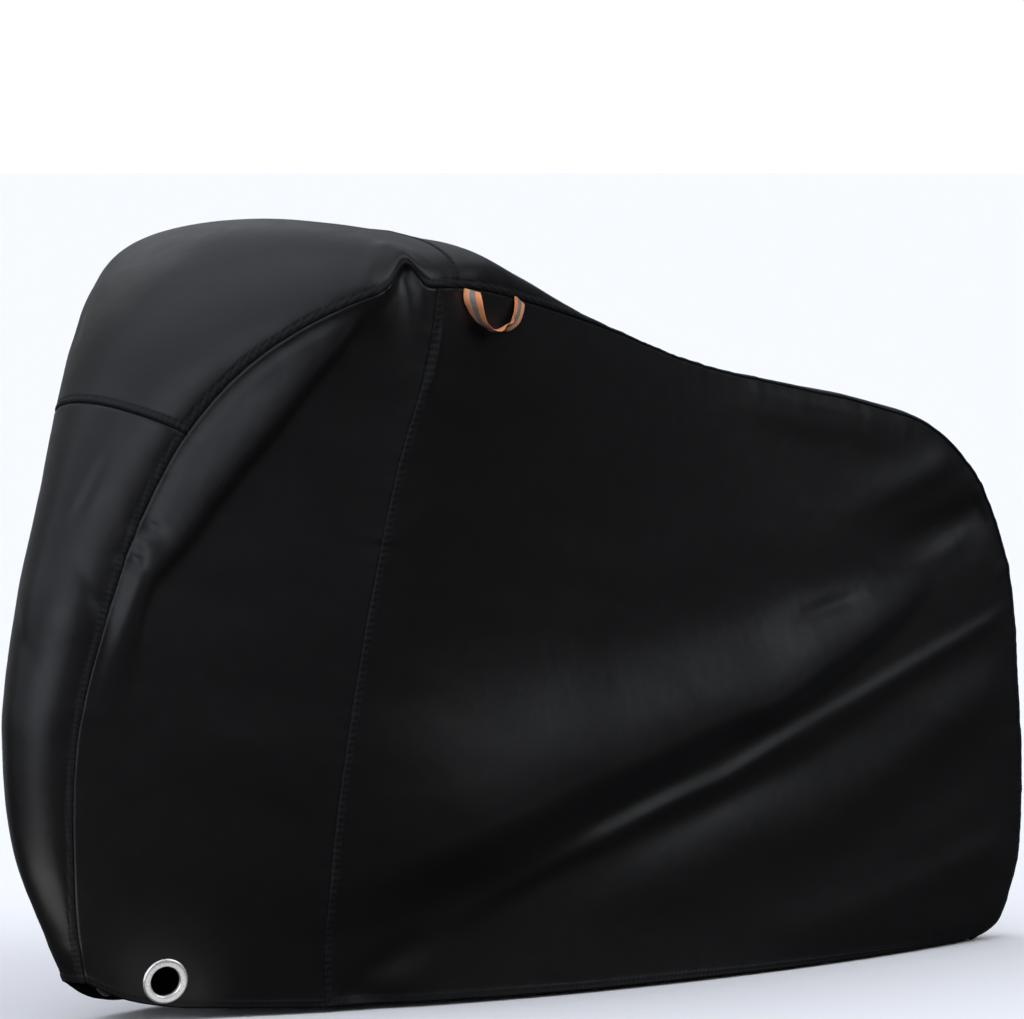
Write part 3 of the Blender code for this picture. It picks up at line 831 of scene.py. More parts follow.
# The cloth's soft unevenness, which leans with the folds
WAVES = [
    Wave(11, (4.0, 6.0, 11.0), 40, 2.2),
    Wave(12, (9.0, 14.0, 26.0), 40, 0.7),
    Wave(13, (26.0, 40.0, 60.0), 80, 0.12),
]
LEAN = (0.97, 0.26)

# How far the rows of stitches are from a seam and from a hem
SEAM_ROWS = (3.0 * MM, 10.6 * MM)
HEM_ROWS = (11.0 * MM,)

# The middle of the webbing loop; turn is the direction of its width, in degrees from +X towards +Y
WEB_LOOP = [
    ("front end", -0.387, -0.2912, 1.011, -15),
    ("front top", -0.390, -0.2945, 1.003, -40),
    ("front middle", -0.388, -0.297, 0.991, -62),
    ("front low", -0.383, -0.296, 0.981, -76),
    ("front turn", -0.372, -0.293, 0.968, -98),
    ("near bottom", -0.356, -0.288, 0.960, -120),
    ("bottom", -0.335, -0.283, 0.955, -133),
    ("past bottom", -0.314, -0.276, 0.958, -143),
    ("rear turn", -0.292, -0.268, 0.962, -151),
    ("rear low", -0.273, -0.260, 0.972, -155),
    ("rear middle", -0.261, -0.252, 0.985, -158),
    ("rear end", -0.255, -0.2460, 0.994, -160),
]


def on_side(side: Side, rows: np.ndarray) -> np.ndarray:
    """Places on one side, from rows that start with x, z and the distance from the middle plane."""
    return np.stack([rows[:, 0], side.value * rows[:, 2], rows[:, 1]], 1)


def row_named(name: str) -> int:
    """The number of the station with this name."""
    return [station.name for station in SEAM_LINE].index(name)


def path_near(places: np.ndarray, path: np.ndarray) -> tuple[np.ndarray, np.ndarray, np.ndarray]:
    """Measures places against a path.

    Args:
        places: one row of two or three lengths for each place.
        path: the path's points, in the same lengths.

    Returns:
        For each place its distance, the share along the path of its nearest point, and, in two lengths, +1
        on the upper or front side of the path and -1 on the other.
    """
    step = np.diff(path, axis=0)
    length = np.linalg.norm(step, axis=1)
    start = np.r_[0, np.cumsum(length)]
    best = np.full(len(places), np.inf)
    along = np.zeros(len(places))
    sign = np.ones(len(places))
    for k, (a, d) in enumerate(zip(path[:-1], step)):
        rel = places - a
        t = np.clip(rel @ d / length[k] ** 2, 0, 1)
        away = np.linalg.norm(rel - t[:, None] * d, axis=1)
        near = away < best
        best[near] = away[near]
        along[near] = (start[k] + t[near] * length[k]) / start[-1]
        if places.shape[1] == 2:
            cross = rel[:, 1] * d[0] - rel[:, 0] * d[1]
            sign[near] = np.where(cross[near] < 0, 1, -1)
    return best, along, sign


# ---- the cloth surface

class Seam:
    """A sewn or hemmed line in the cloth, against which places are measured."""

    STEP = 1.0 * MM

    def __init__(self, points: np.ndarray) -> None:
        """Samples the line closely.

        Args:
            points: the line's points.
        """
        length = running(points)
        self.along = np.arange(0, length[-1], self.STEP)
        self.points = read_off(self.along, length, points)
        self.tree = KDTree(len(self.points))
        for k, point in enumerate(self.points):
            self.tree.insert(point, k)
        self.tree.balance()

    def measure(self, places: np.ndarray, reach: float) -> tuple[np.ndarray, np.ndarray]:
        """Finds how far places are from the line, and where along it.

        Args:
            places: the places.
            reach: the distance beyond which a place isn't measured.

        Returns:
            The distances, 1 where a place is out of reach, and the lengths along the line.
        """
        away, along = np.ones(len(places)), np.zeros(len(places))
        low, high = self.points.min(0) - reach, self.points.max(0) + reach
        for k in np.where(((places > low) & (places < high)).all(1))[0]:
            _, index, distance = self.tree.find(places[k])
            if distance < reach:
                away[k], along[k] = distance, self.along[index]
        return away, along


def corners(ids: np.ndarray) -> np.ndarray:
    """The four corners of each cell of a block of ids."""
    return np.stack([ids[:-1, :-1], ids[:-1, 1:], ids[1:, 1:], ids[1:, :-1]], 2)


@dataclass
class Grid:
    """A block of the cloth's surface: the ids of its points in rows, and its place on the flat cut."""

    ids: np.ndarray
    flip: bool                             # whether its faces are turned round
    cut: np.ndarray
    kept: Optional[np.ndarray] = None      # the cells that stay round a hole, or None for all


@dataclass
class ClothSurface:
    """The whole surface of the cover, laid out between its seams and then folded and worked."""

    gusset: Cells = Cells(132, 9, 9)              # up the front to the cross seam
    hood: Cells = Cells(74, 12, 12, 0.22)         # from there to the bar end
    front: Cells = Cells(66, 12, 10, 0.20)        # across a front half
    shoulder: Cells = Cells(18, 10, 8, 0.28)      # across a rear half, as far as the hood's back
    rear: Cells = Cells(182, 6, 12, 0.22)         # and from there to the rear
    across: Cells = Cells(72, 12, 12, 0.12)       # across the strip
    gusset_share: float = 14 / 22  # the share of an upright edge that the gusset's cells take
    shoulder_share: float = 1 / 20  # the share of a rear half's width that the shoulder's cells take
    far_side: float = 0.6          # how strongly the same folds show on the right side
    seam_reach: float = 0.060      # how far from a seam the cloth feels it
    taut: float = 0.022            # how far from the seam line a fold dies out
    plane_soft: float = 0.11       # how softly an even flank begins and ends, as a share of it
    welt: float = 14.0 * MM        # the width of the cloth that is turned under beside a seam
    sewn_band: float = 13.5 * MM   # how far from a seam its cloth looks pressed and drawn in, and is painted darker as the seam groove's shade
    hem_sewn: float = 0.5          # how much of that look a hem has
    upright_size: float = 0.8      # how strong an upright seam is beside the others
    calm: float = 0.25             # how much of the unevenness is left at a seam
    calm_reach: float = 0.050
    hood_drop: float = 9.0 * MM    # how far the left half of the rear strip starts below the hood
    hood_drop_reach: float = 38 * MM
    grids: dict[str, Grid] = field(default_factory=dict)
    seams: dict[str, Seam] = field(default_factory=dict)

    LOOK: ClassVar[float] = 0.02         # how far along the rows an arch's own direction is taken
    SMOOTHING: ClassVar[int] = 40        # and how many rounds of smoothing it gets
    ARCH_STEPS: ClassVar[int] = 721
    FOLD_STEPS: ClassVar[int] = 60       # points along a fold's and a crease's path
    CREASE_STEPS: ClassVar[int] = 24

    def lay_out(self) -> None:
        """Lays the surface out between the seams, unfolded."""
        blocks = self.blocks()
        points = np.concatenate([block.reshape(-1, 3) for block, _ in blocks.values()])
        _, first, ids = np.unique(np.round(points, 6) + 0.0, axis=0, return_index=True, return_inverse=True)
        self.points = points[first]
        ends = np.cumsum([block[..., 0].size for block, _ in blocks.values()])
        for (name, (block, flip)), part in zip(blocks.items(), np.split(ids.reshape(-1), ends[:-1])):
            self.grids[name] = Grid(part.reshape(block.shape[:2]), flip, self.flat_cut(block))
        self.find_normals()
        self.find_seams()

    def blocks(self) -> dict[str, tuple[np.ndarray, bool]]:
        """The strip and the four halves of the side panels as blocks of points.

        Returns:
            Each block's points and whether its faces are turned round.
        """
        line = Curve(numbers(SEAM_LINE))
        low, high, across = self.gusset.shares(), self.hood.shares(), self.front.shares()
        near, far = self.shoulder.shares(), self.rear.shares()
        up = np.r_[low * self.gusset_share, self.gusset_share + high[1:] * (1 - self.gusset_share)]
        back = np.r_[near * self.shoulder_share, self.shoulder_share + far[1:] * (1 - self.shoulder_share)]

        def rows(first: str, last: str, along: np.ndarray) -> np.ndarray:
            """Row numbers between two stations."""
            return line.spaced(row_named(first), row_named(last), along)

        front = np.r_[rows("front hem", "cross seam", low), rows("cross seam", "bar end", high)[1:]]
        bar = rows("bar end", "bar back", across)
        top = np.r_[rows("bar back", "hood back", near), rows("hood back", "rear bend", far)[1:]]
        rear = rows("rear bend", "rear hem", 1 - up[::-1])
        self.cross_row = self.gusset.count
        self.back_row = self.cross_row + self.hood.count + self.front.count + self.shoulder.count
        made = {"strip": (self.arches(line, np.r_[front, bar[1:], top[1:], rear[1:]]), True)}
        edges = ((UPRIGHT_SEAM, up), (FRONT_HEM, across), (REAR_HEM, back))
        for side in Side:
            before, behind, below_bar, above = (on_side(side, line.at(at)) for at in (front, rear, bar, top))
            upright, front_hem, rear_hem = (on_side(side, Curve(numbers(table)).even(along))
                                            for table, along in edges)
            made["side_front_" + side.word] = (
                self.patch(before, upright, front_hem, below_bar, up, across), side is Side.RIGHT)
            made["side_rear_" + side.word] = (
                self.patch(upright, behind[::-1], rear_hem, above, up, back), side is Side.RIGHT)
        return made

    def patch(self, left: np.ndarray, right: np.ndarray, bottom: np.ndarray, top: np.ndarray,
              up: np.ndarray, across: np.ndarray) -> np.ndarray:
        """Fills four edges with a block of points.

        Args:
            left: the left edge, upwards.
            right: the right edge, upwards.
            bottom: the bottom edge, from left to right.
            top: the top edge, from left to right.
            up: the share of the height at each row.
            across: the share of the width at each column.

        Returns:
            The block.
        """
        v, u = up[:, None, None], across[None, :, None]
        sides = (1 - u) * left[:, None] + u * right[:, None]
        ends = (1 - v) * bottom[None] + v * top[None]
        twice = ((1 - u) * (1 - v) * bottom[0] + u * (1 - v) * bottom[-1]
                 + (1 - u) * v * top[0] + u * v * top[-1])
        return sides + ends - twice

    def arches(self, line: Curve, rows: np.ndarray) -> np.ndarray:
        """The strip: an arch between the left and the right seam line at each row.

        Args:
            line: the seam line.
            rows: the row numbers of the arches.

        Returns:
            The block.
        """
        last = len(SEAM_LINE) - 1
        ahead = line.at(np.clip(rows + self.LOOK, 0, last)) - line.at(np.clip(rows - self.LOOK, 0, last))
        along = unit(ahead[:, :2])
        for _ in range(self.SMOOTHING):
            along[1:-1] = (along[:-2] + 2 * along[1:-1] + along[2:]) / 4
        along = unit(along)
        turn = np.linspace(-pi / 2, pi / 2, self.ARCH_STEPS)
        even = self.across.shares()
        block = np.zeros((len(rows), len(even), 3))
        for i, (x, z, half, crown, fullness, left) in enumerate(line.at(rows)):
            power = 2 / (fullness + left * (turn < 0))
            side = np.sign(turn) * np.abs(np.sin(turn)) ** power * half
            height = np.abs(np.cos(turn)) ** power * crown
            height[0] = height[-1] = 0
            arch = np.stack([side, height], 1)
            length = running(arch)
            side, height = read_off(even * length[-1], length, arch).T
            block[i] = np.stack([x - along[i, 1] * height, side, z + along[i, 0] * height], 1)
        return block

    def flat_cut(self, block: np.ndarray) -> np.ndarray:
        """Finds where each point of a block is on the flat cut.

        Args:
            block: the block's points.

        Returns:
            Their lengths along the block and across it from its middle.
        """
        down = np.linalg.norm(np.diff(block, axis=0), axis=2)
        over = np.linalg.norm(np.diff(block, axis=1), axis=2)
        rows = np.vstack([np.zeros((1, block.shape[1])), np.cumsum(down, axis=0)])
        columns = np.hstack([np.zeros((block.shape[0], 1)), np.cumsum(over, axis=1)])
        return np.stack([rows.mean(1, keepdims=True) + 0 * rows, columns - columns[:, -1:] / 2], 2)

    def find_normals(self) -> None:
        """Finds the outward normal at each point from the faces round it."""
        normals = np.zeros_like(self.points)
        for grid in self.grids.values():
            faces = corners(grid.ids).reshape(-1, 4)
            a, b, c, d = self.points[faces.T]
            across = np.cross(c - a, d - b) * (-1 if grid.flip else 1)
            for corner in faces.T:
                np.add.at(normals, corner, across)
        self.normals = unit(normals)

    def push(self, lift: np.ndarray) -> None:
        """Moves the points along their normals."""
        self.points += lift[:, None] * self.normals
        self.find_normals()

    def find_seams(self) -> None:
        """Lays down the sewn and hemmed lines, and notes on which side a seam's cloth is turned under."""
        strip = self.grids["strip"].ids
        hood = strip[self.cross_row:self.back_row + 1]
        lines = {
            "seam line left": (strip[:, 0], strip),
            "seam line right": (strip[:, -1], strip),
            "cross seam": (hood[0], hood),
            "hood back seam": (hood[-1], hood),
            "front hem": (strip[0], strip),
            "rear hem": (strip[-1], strip),
        }
        for side in Side:
            front, rear = (self.grids[part + side.word].ids for part in ("side_front_", "side_rear_"))
            lines["upright seam " + side.word] = (front[:, -1], rear)
            lines["hem " + side.word] = (np.r_[front[0], rear[0][1:]], rear)
        self.seams = {name: Seam(self.points[ids]) for name, (ids, _) in lines.items()}
        self.turned = {name: self.marked(under) for name, (_, under) in lines.items()}

    def panel(self, side: Side) -> np.ndarray:
        """The ids of one side panel's points."""
        return np.unique(np.r_[self.grids["side_front_" + side.word].ids.ravel(),
                               self.grids["side_rear_" + side.word].ids.ravel()])

    def measure_seams(self) -> None:
        """Measures every point against every seam, on the unfolded surface."""
        self.near = {name: seam.measure(self.points, self.seam_reach) for name, seam in self.seams.items()}

    def fold(self) -> None:
        """Pushes the side panels into their folds."""
        for side in Side:
            ids = self.panel(side)
            places = self.points[ids][:, [0, 2]]
            strength = 1.0 if side is Side.LEFT else self.far_side
            total = np.zeros(len(ids))
            for fold in FOLDS:
                total += MM * self.fold_height(fold, places)
            held = ease(self.near["seam line " + side.word][0][ids] / self.taut)
            self.points[ids, 1] += side.value * strength * held * total
        self.find_normals()

    def fold_height(self, fold: Fold, places: np.ndarray) -> np.ndarray:
        """How far one fold pushes a side panel outwards.

        Args:
            fold: the fold.
            places: the panel's places, as x and z.

        Returns:
            The height at each place, in millimetres.
        """
        rows = np.array(fold.crest, float)
        at = np.linspace(0, len(rows) - 1, self.FOLD_STEPS)
        path = Curve(rows[:, :2] * MM).at(at)
        away, along, sign = path_near(places, path)
        length = running(path)
        row = np.interp(along * length[-1], length, at)
        height, above, below = read_off(row, np.arange(len(rows)), rows[:, 2:]).T
        share = away / (MM * np.where(sign > 0, above, below))
        fade = ease(along / fold.ends[0]) * ease((1 - along) / fold.ends[1])
        if not fold.plane:
            return height * fade * bell(share, 1)
        soft = self.plane_soft
        gone = np.logaddexp(0, (share - 2 * soft) / soft) - np.logaddexp(0, (share - 1) / soft)
        return height * fade * (1 - gone * soft / (1 - 2 * soft))

    def pull(self, peak: Pull) -> None:
        """Draws the cloth round a place along with the seam that is pulled there."""
        x, y, z = (self.points / MM - peak.place).T
        share = bell(x, np.where(x < 0, peak.front, peak.rear)) * bell(y, peak.side) * bell(z, peak.height)
        self.points += MM * share[:, None] * peak.way
        self.find_normals()

    def crease(self) -> None:
        """Presses the small creases and swells into the cloth."""
        lift = np.zeros(len(self.points))
        for crease in CREASES:
            rows = MM * np.array(crease.path)
            path = Curve(rows).at(np.linspace(0, len(rows) - 1, self.CREASE_STEPS))
            width = crease.width * MM
            low, high = path.min(0) - 3 * width, path.max(0) + 3 * width
            near = np.where(((self.points > low) & (self.points < high)).all(1))[0]
            away, along, _ = path_near(self.points[near], path)
            fade = np.sin(pi * np.clip(along, 0.02, 0.98)) ** 0.5
            lift[near] += crease.height * MM * fade * bell(away, width)
        self.push(lift)

    def wrinkle(self) -> None:
        """Gives the cloth its soft unevenness, in waves that run mostly with the folds."""
        x, y, z = self.points.T
        lean = np.stack([x * LEAN[0] - z * LEAN[1], y, z * LEAN[0] + x * LEAN[1]], 1)
        lift = sum(wave.height * Noise(wave.seed).at(lean * wave.per_metre + wave.shift) for wave in WAVES)
        held = self.calm + (1 - self.calm) * ease(self.edge_distance() / self.calm_reach)
        self.push(MM * lift * held)

    def edge_distance(self) -> np.ndarray:
        """How far each point is from the nearest seam."""
        return np.minimum.reduce([away for away, _ in self.near.values()])

    def marked(self, ids: np.ndarray) -> np.ndarray:
        """Marks some of the points.

        Args:
            ids: the ids of the points.

        Returns:
            1 at these points, and 0 elsewhere.
        """
        there = np.zeros(len(self.points))
        there[ids.ravel()] = 1
        return there

    def work_seams(self) -> None:
        """Sinks the seams, raises the cloth that is turned under beside them, and puckers it."""
        lift = self.drop_behind_hood()
        self.sewn = np.zeros(len(self.points))
        for k, (name, (away, along)) in enumerate(self.near.items()):
            band = ease((self.sewn_band - away) / (2.5 * MM))
            if "hem" in name:
                self.sewn = np.maximum(self.sewn, self.hem_sewn * band)
                lift += self.hem_profile(away, along, k)
            else:
                turned = self.turned[name]
                self.sewn = np.maximum(self.sewn, band * turned)
                size = self.upright_size if "upright" in name else 1.0
                lift += size * self.seam_profile(away, along, k, turned)
        self.push(lift)

    def drop_behind_hood(self) -> np.ndarray:
        """Lowers the left half of the strip behind the hood's own edge.

        Returns:
            The lift, which is less than 0 there.
        """
        behind = self.marked(self.grids["strip"].ids[self.back_row + 1:])
        away = self.near["hood back seam"][0]
        left = ease(-self.points[:, 1] / 0.08)
        return -self.hood_drop * behind * left * ease(away / (5 * MM)) * bell(away, self.hood_drop_reach)

    def seam_profile(self, away: np.ndarray, along: np.ndarray, seed: int, turned: np.ndarray) -> np.ndarray:
        """How far a seam lifts the cloth beside it.

        Args:
            away: the distance from the seam.
            along: the place along it.
            seed: the seed of its puckers.
            turned: 1 on the side where the cloth is turned under.

        Returns:
            The lift.
        """
        groove = -2.0 * bell(away, 1.8 * MM)
        welt = 0.8 * shelf(away, 2.2 * MM, self.welt, 3.0 * MM)
        dimple = -1.6 * bell(away - SEAM_ROWS[1], 1.6 * MM)
        small = ripple(along, 13 * MM, 30 + seed) * bell(away, 13 * MM)
        large = ripple(along, 34 * MM, 60 + seed) * np.exp(-(away / (28 * MM)) ** 1.5)
        return MM * (groove + turned * (welt + dimple) + 0.9 * small + 1.5 * large)

    def hem_profile(self, away: np.ndarray, along: np.ndarray, seed: int) -> np.ndarray:
        """How far a hem lifts the cloth above it: the turned-in band, its stitches and its slack.

        Args:
            away: the distance from the hem's edge.
            along: the place along it.
            seed: the seed of its slack.

        Returns:
            The lift.
        """
        band = 0.8 * shelf(away, 1.5 * MM, self.welt, 3.0 * MM)
        dimple = -0.5 * bell(away - HEM_ROWS[0], 1.2 * MM)
        slack = 1.3 * ripple(along, 45 * MM, 90 + seed) * bell(away, 30 * MM)
        return MM * (band + dimple + slack)


@dataclass(frozen=True)
class EyeletPlace:
    """Where an eyelet sits in the low front corner: on the outer face of the cloth."""

    side: Side
    right_centre: Triple = (-0.76325, 0.06852, 0.05333)
    right_outward: Triple = (-0.354406, 0.909262, -0.218262)
    flat: float = 46 * MM          # the radius within which the cloth is flat before its hem is worked
    blend: float = 85 * MM         # and the radius at which it is back in its own shape
    press: float = 35 * MM         # the same once the hem is worked
    press_blend: float = 47 * MM
    hole: float = 25.6 * MM

    @property
    def centre(self) -> np.ndarray:
        """The eyelet's middle."""
        return np.array(self.right_centre) * (1, self.side.value, 1)

    @property
    def outward(self) -> np.ndarray:
        """The direction in which it faces."""
        return unit(np.array(self.right_outward) * (1, self.side.value, 1))

    def flatten(self, cloth: ClothSurface, flat: float, blend: float) -> None:
        """Lays the cloth round the eyelet flat.

        Args:
            cloth: the surface.
            flat: the radius within which it is flat.
            blend: the radius at which it is back in its own shape.
        """
        ids = np.unique(cloth.grids["side_front_" + self.side.word].ids)
        height, _, radius = self.measure(cloth.points[ids])
        keep = ease((radius - flat) / (blend - flat))
        cloth.points[ids] -= ((1 - keep) * height)[:, None] * self.outward
        cloth.find_normals()

    def measure(self, places: np.ndarray) -> tuple[np.ndarray, np.ndarray, np.ndarray]:
        """Measures places against the eyelet's axis.

        Args:
            places: the places.

        Returns:
            Their heights over its middle, their steps away from the axis and their distances from it.
        """
        rel = places - self.centre
        height = rel @ self.outward
        step = rel - height[..., None] * self.outward
        return height, step, np.linalg.norm(step, axis=-1)

    def open_hole(self, cloth: ClothSurface, grid: Grid) -> None:
        """Opens the hole: cells inside it go, and the points at its edge move onto its circle.

        Args:
            cloth: the surface.
            grid: the block that the hole is in.
        """
        _, step, radius = self.measure(cloth.points[grid.ids])
        inside = radius < self.hole
        grid.kept = ~corners(inside).all(2)
        edge = inside & (radius > 1e-6)
        moved = self.centre + step * (self.hole / np.maximum(radius, 1e-6))[..., None]
        cloth.points[grid.ids[edge]] = moved[edge]


# ---- pieces of cloth

@dataclass
class ClothPiece:
    """One cut piece of the cover, as a closed shell of cloth."""

    name: str
    nodes: tuple[str, ...]
    flat: tuple[float, float]        # the rectangle it was cut from
    area: float                      # the cut's own flat area
    thickness: float = 1.2 * MM
    hem_extra: float = 0.9 * MM      # what the turned-in hem adds
    hem_width: float = 12 * MM
    gap: float = 0.15 * MM           # how far its edges stand back from a seam

    def shell(self, cloth: ClothSurface, grid: Grid, rows: slice) -> bpy.types.Object:
        """Makes the piece from a block of the surface.

        Args:
            cloth: the surface.
            grid: the block that it is cut from.
            rows: the rows of the block that it takes.

        Returns:
            The object.
        """
        ids, cut = grid.ids[rows], grid.cut[rows]
        outer, normals = cloth.points[ids].copy(), cloth.normals[ids]
        hem = np.minimum.reduce([away for name, (away, _) in cloth.near.items() if "hem" in name])[ids]
        thick = self.thickness + self.hem_extra * ease((self.hem_width - hem) / (2 * MM))
        thick = np.where(hem < 0.3 * MM, self.thickness, thick)
        inner = outer - thick[..., None] * normals
        for block in (outer, inner):
            self.step_back(block)
        count = ids.size
        faces = corners(np.arange(count).reshape(ids.shape))
        faces = faces.reshape(-1, 4) if grid.kept is None else faces[grid.kept]
        if grid.flip:
            faces = faces[:, ::-1]
        every = np.concatenate([faces, faces[:, ::-1] + count, self.rim(faces, count)])
        points = np.stack([outer, inner]).reshape(-1, 3)
        return mesh_object(self.name, points, every, np.tile(cut.reshape(-1, 2), (2, 1)),
                           np.tile(cloth.sewn[ids].ravel(), 2))

    def step_back(self, block: np.ndarray) -> None:
        """Moves the block's four edges back by the gap at a seam.

        Args:
            block: the block's points, which are changed.
        """
        before = block.copy()
        for edge, inside in ((np.s_[0], np.s_[1]), (np.s_[-1], np.s_[-2]),
                             (np.s_[:, 0], np.s_[:, 1]), (np.s_[:, -1], np.s_[:, -2])):
            way = before[inside] - before[edge]
            length = np.maximum(np.linalg.norm(way, axis=-1, keepdims=True), 1e-9)
            block[edge] += way / length * np.minimum(self.gap, 0.4 * length)

    def rim(self, faces: np.ndarray, count: int) -> np.ndarray:
        """Joins the outer and the inner sheet at the piece's edges and holes.

        Args:
            faces: the outer sheet's faces.
            count: how many points a sheet has.

        Returns:
            The faces between the sheets.
        """
        ahead = np.roll(faces, -1, axis=1)
        a, b = faces.ravel(), ahead.ravel()
        forward, backward = a * count + b, b * count + a
        edge = ~np.isin(forward, backward)
        a, b = a[edge], b[edge]
        return np.stack([b, a, a + count, b + count], 1)


def mesh_object(name: str, points: np.ndarray, faces: np.ndarray, cut: Optional[np.ndarray] = None,
                sewn: Optional[np.ndarray] = None) -> bpy.types.Object:
    """Makes a smooth object from points and faces that all have as many corners.

    Args:
        name: the object's name.
        points: the places of the points.
        faces: the numbers of each face's corners.
        cut: the place of each point on the flat cut.
        sewn: 1 at each point in a sewn band, and 0 elsewhere.

    Returns:
        The object, in the scene.
    """
    used, numbers_of = np.unique(faces, return_inverse=True)
    faces = numbers_of.reshape(faces.shape)
    mesh = bpy.data.meshes.new(name)
    mesh.from_pydata(points[used].tolist(), [], faces.tolist())
    if cut is not None:
        layer = mesh.uv_layers.new(name="cut")
        corner = np.empty(len(mesh.loops), np.int32)
        mesh.loops.foreach_get("vertex_index", corner)
        layer.data.foreach_set("uv", cut[used][corner].astype(np.float32).ravel())
    if sewn is not None:
        layer = mesh.attributes.new("sewn", "FLOAT", "POINT")
        layer.data.foreach_set("value", sewn[used].astype(np.float32))
    mesh.polygons.foreach_set("use_smooth", np.ones(len(mesh.polygons), bool))
    mesh.update()
    return add_object(name, mesh)


def band_faces(rings: int, size: int, closed: bool = False) -> np.ndarray:
    """The four-sided faces between rings of points that follow one another.

    Args:
        rings: how many rings there are.
        size: how many points each has.
        closed: whether the last ring joins the first.

    Returns:
        The numbers of each face's corners.
    """
    ids = np.arange(rings * size).reshape(rings, size)
    here, ahead = (ids, np.roll(ids, -1, 0)) if closed else (ids[:-1], ids[1:])
    return np.stack([here, np.roll(here, -1, 1), np.roll(ahead, -1, 1), ahead], 2).reshape(-1, 4)


def sections_at(middles: np.ndarray, across: np.ndarray, up: np.ndarray, section: np.ndarray) -> np.ndarray:
    """Lays a flat section round each middle.

    Args:
        middles: one place for each section, or one for all.
        across: the direction of the section's width at each.
        up: the direction of its height at each.
        section: the section's points.

    Returns:
        The points, by section.
    """
    return middles[:, None] + section[None, :, :1] * across[:, None] + section[None, :, 1:] * up[:, None]


@dataclass
class StitchRows:
    """Rows of machine stitches along one seam or hem, as small lengths of thread."""

    name: str
    pitch: float = 4.4 * MM
    length: float = 3.3 * MM
    radius: float = 0.36 * MM
    paths: list[tuple[np.ndarray, np.ndarray]] = field(default_factory=list)

    # A stitch's four rings of four points: the place along it, the height over the cloth and the size of each
    SHAPE: ClassVar[tuple] = ((-0.5, -0.25, 0.55), (-0.22, 0.12, 1.0), (0.22, 0.12, 1.0), (0.5, -0.25, 0.55))

    def follow(self, cloth: ClothSurface, ids: np.ndarray, away: float) -> None:
        """Adds a row of stitches beside an edge of a block.

        Args:
            cloth: the surface.
            ids: the block of ids, with the edge as its first column.
            away: the row's distance from the edge.
        """
        rows = [[read_off(away, running(line), line), read_off(away, running(line), normals)]
                for line, normals in zip(cloth.points[ids], cloth.normals[ids])]
        self.paths.append(tuple(np.array(rows).transpose(1, 0, 2)))

    def build(self) -> bpy.types.Object:
        """Makes the thread of all the rows.

        Returns:
            The object.
        """
        turn = np.radians([45, 135, 225, 315])
        ring = self.radius * np.stack([np.cos(turn), np.sin(turn)], 1)
        points = []
        for path, normal in self.paths:
            length = running(path)
            middles = np.arange(self.pitch / 2, length[-1] - self.pitch / 2, self.pitch)
            rings = []
            for shift, lift, size in self.SHAPE:
                at = middles + shift * self.length
                place, up = read_off(at, length, path), read_off(at, length, normal)
                ahead = unit(read_off(at + 0.5 * MM, length, path) - place)
                across = unit(np.cross(up, ahead))
                rings.append(sections_at(place + up * lift * 2 * self.radius, across, up, size * ring))
            points.append(np.stack(rings, 1).reshape(-1, 3))
        points = np.concatenate(points)
        solid = np.concatenate([band_faces(4, 4), [[3, 2, 1, 0], [12, 13, 14, 15]]])
        faces = np.arange(0, len(points), 16)[:, None, None] + solid
        return mesh_object(self.name, points, faces.reshape(-1, 4))


# ---- eyelets and webbing

@dataclass(frozen=True)
class PressedEyelet:
    """A pressed eyelet: a rolled front ring, a barrel through the cloth and a flat back ring."""

    place: EyeletPlace
    bore: float = 21.5 * MM
    barrel: float = 25.0 * MM
    rim: float = 33.0 * MM
    half_cloth: float = 1.3 * MM
    stand: float = 2.8 * MM
    back: float = 1.7 * MM
    inset: float = 1.0 * MM        # how far its middle is below the cloth's outer face
    roll_steps: int = 18
    roll_across: float = 0.80      # less than 1 for a front ring that is fuller than a half circle
    roll_up: float = 0.85
    sides: int = 112

    def profile(self) -> np.ndarray:
        """The ring's section, as radius and height above the middle of the cloth.

        Returns:
            The section's points.
        """
        front = self.half_cloth + self.stand
        middle, half = (self.bore + self.rim) / 2, (self.rim - self.bore) / 2
        turn = np.linspace(0, pi, self.roll_steps + 1)
        out = np.sign(np.cos(turn)) * np.abs(np.cos(turn)) ** self.roll_across
        rise = 1 - np.abs(np.sin(turn)) ** self.roll_up
        roll = np.stack([middle - half * out, front - self.stand * rise], 1)
        low = -self.half_cloth - self.back
        return np.concatenate([roll, [
            (self.rim, self.half_cloth + 0.2 * MM), (self.rim - 0.4 * MM, self.half_cloth),
            (self.barrel, self.half_cloth), (self.barrel, -self.half_cloth),
            (self.rim - 0.9 * MM, -self.half_cloth), (self.rim - 0.5 * MM, -self.half_cloth - 0.4 * MM),
            (self.rim - 0.7 * MM, low + 0.5 * MM), (self.rim - 1.6 * MM, low + 0.1 * MM),
            (self.rim - 3.0 * MM, low), (self.bore + 2.2 * MM, low),
            (self.bore + 0.9 * MM, low + 0.25 * MM), (self.bore + 0.2 * MM, low + 0.8 * MM),
            (self.bore, low + 1.3 * MM)]])

    def build(self) -> bpy.types.Object:
        """Turns the section round into a ring, in its place.

        Returns:
            The object.
        """
        section = self.profile()
        outward = self.place.outward
        across = unit(np.cross((0, 0, 1), outward))
        turn = 2 * pi * np.arange(self.sides)[:, None] / self.sides
        spokes = np.cos(turn) * across + np.sin(turn) * np.cross(outward, across)
        middle = self.place.centre - outward * self.inset
        points = sections_at(middle[None], spokes, outward[None], section)
        return mesh_object("pressed_eyelet_" + self.place.side.word, points.reshape(-1, 3),
                           band_faces(self.sides, len(section), True))


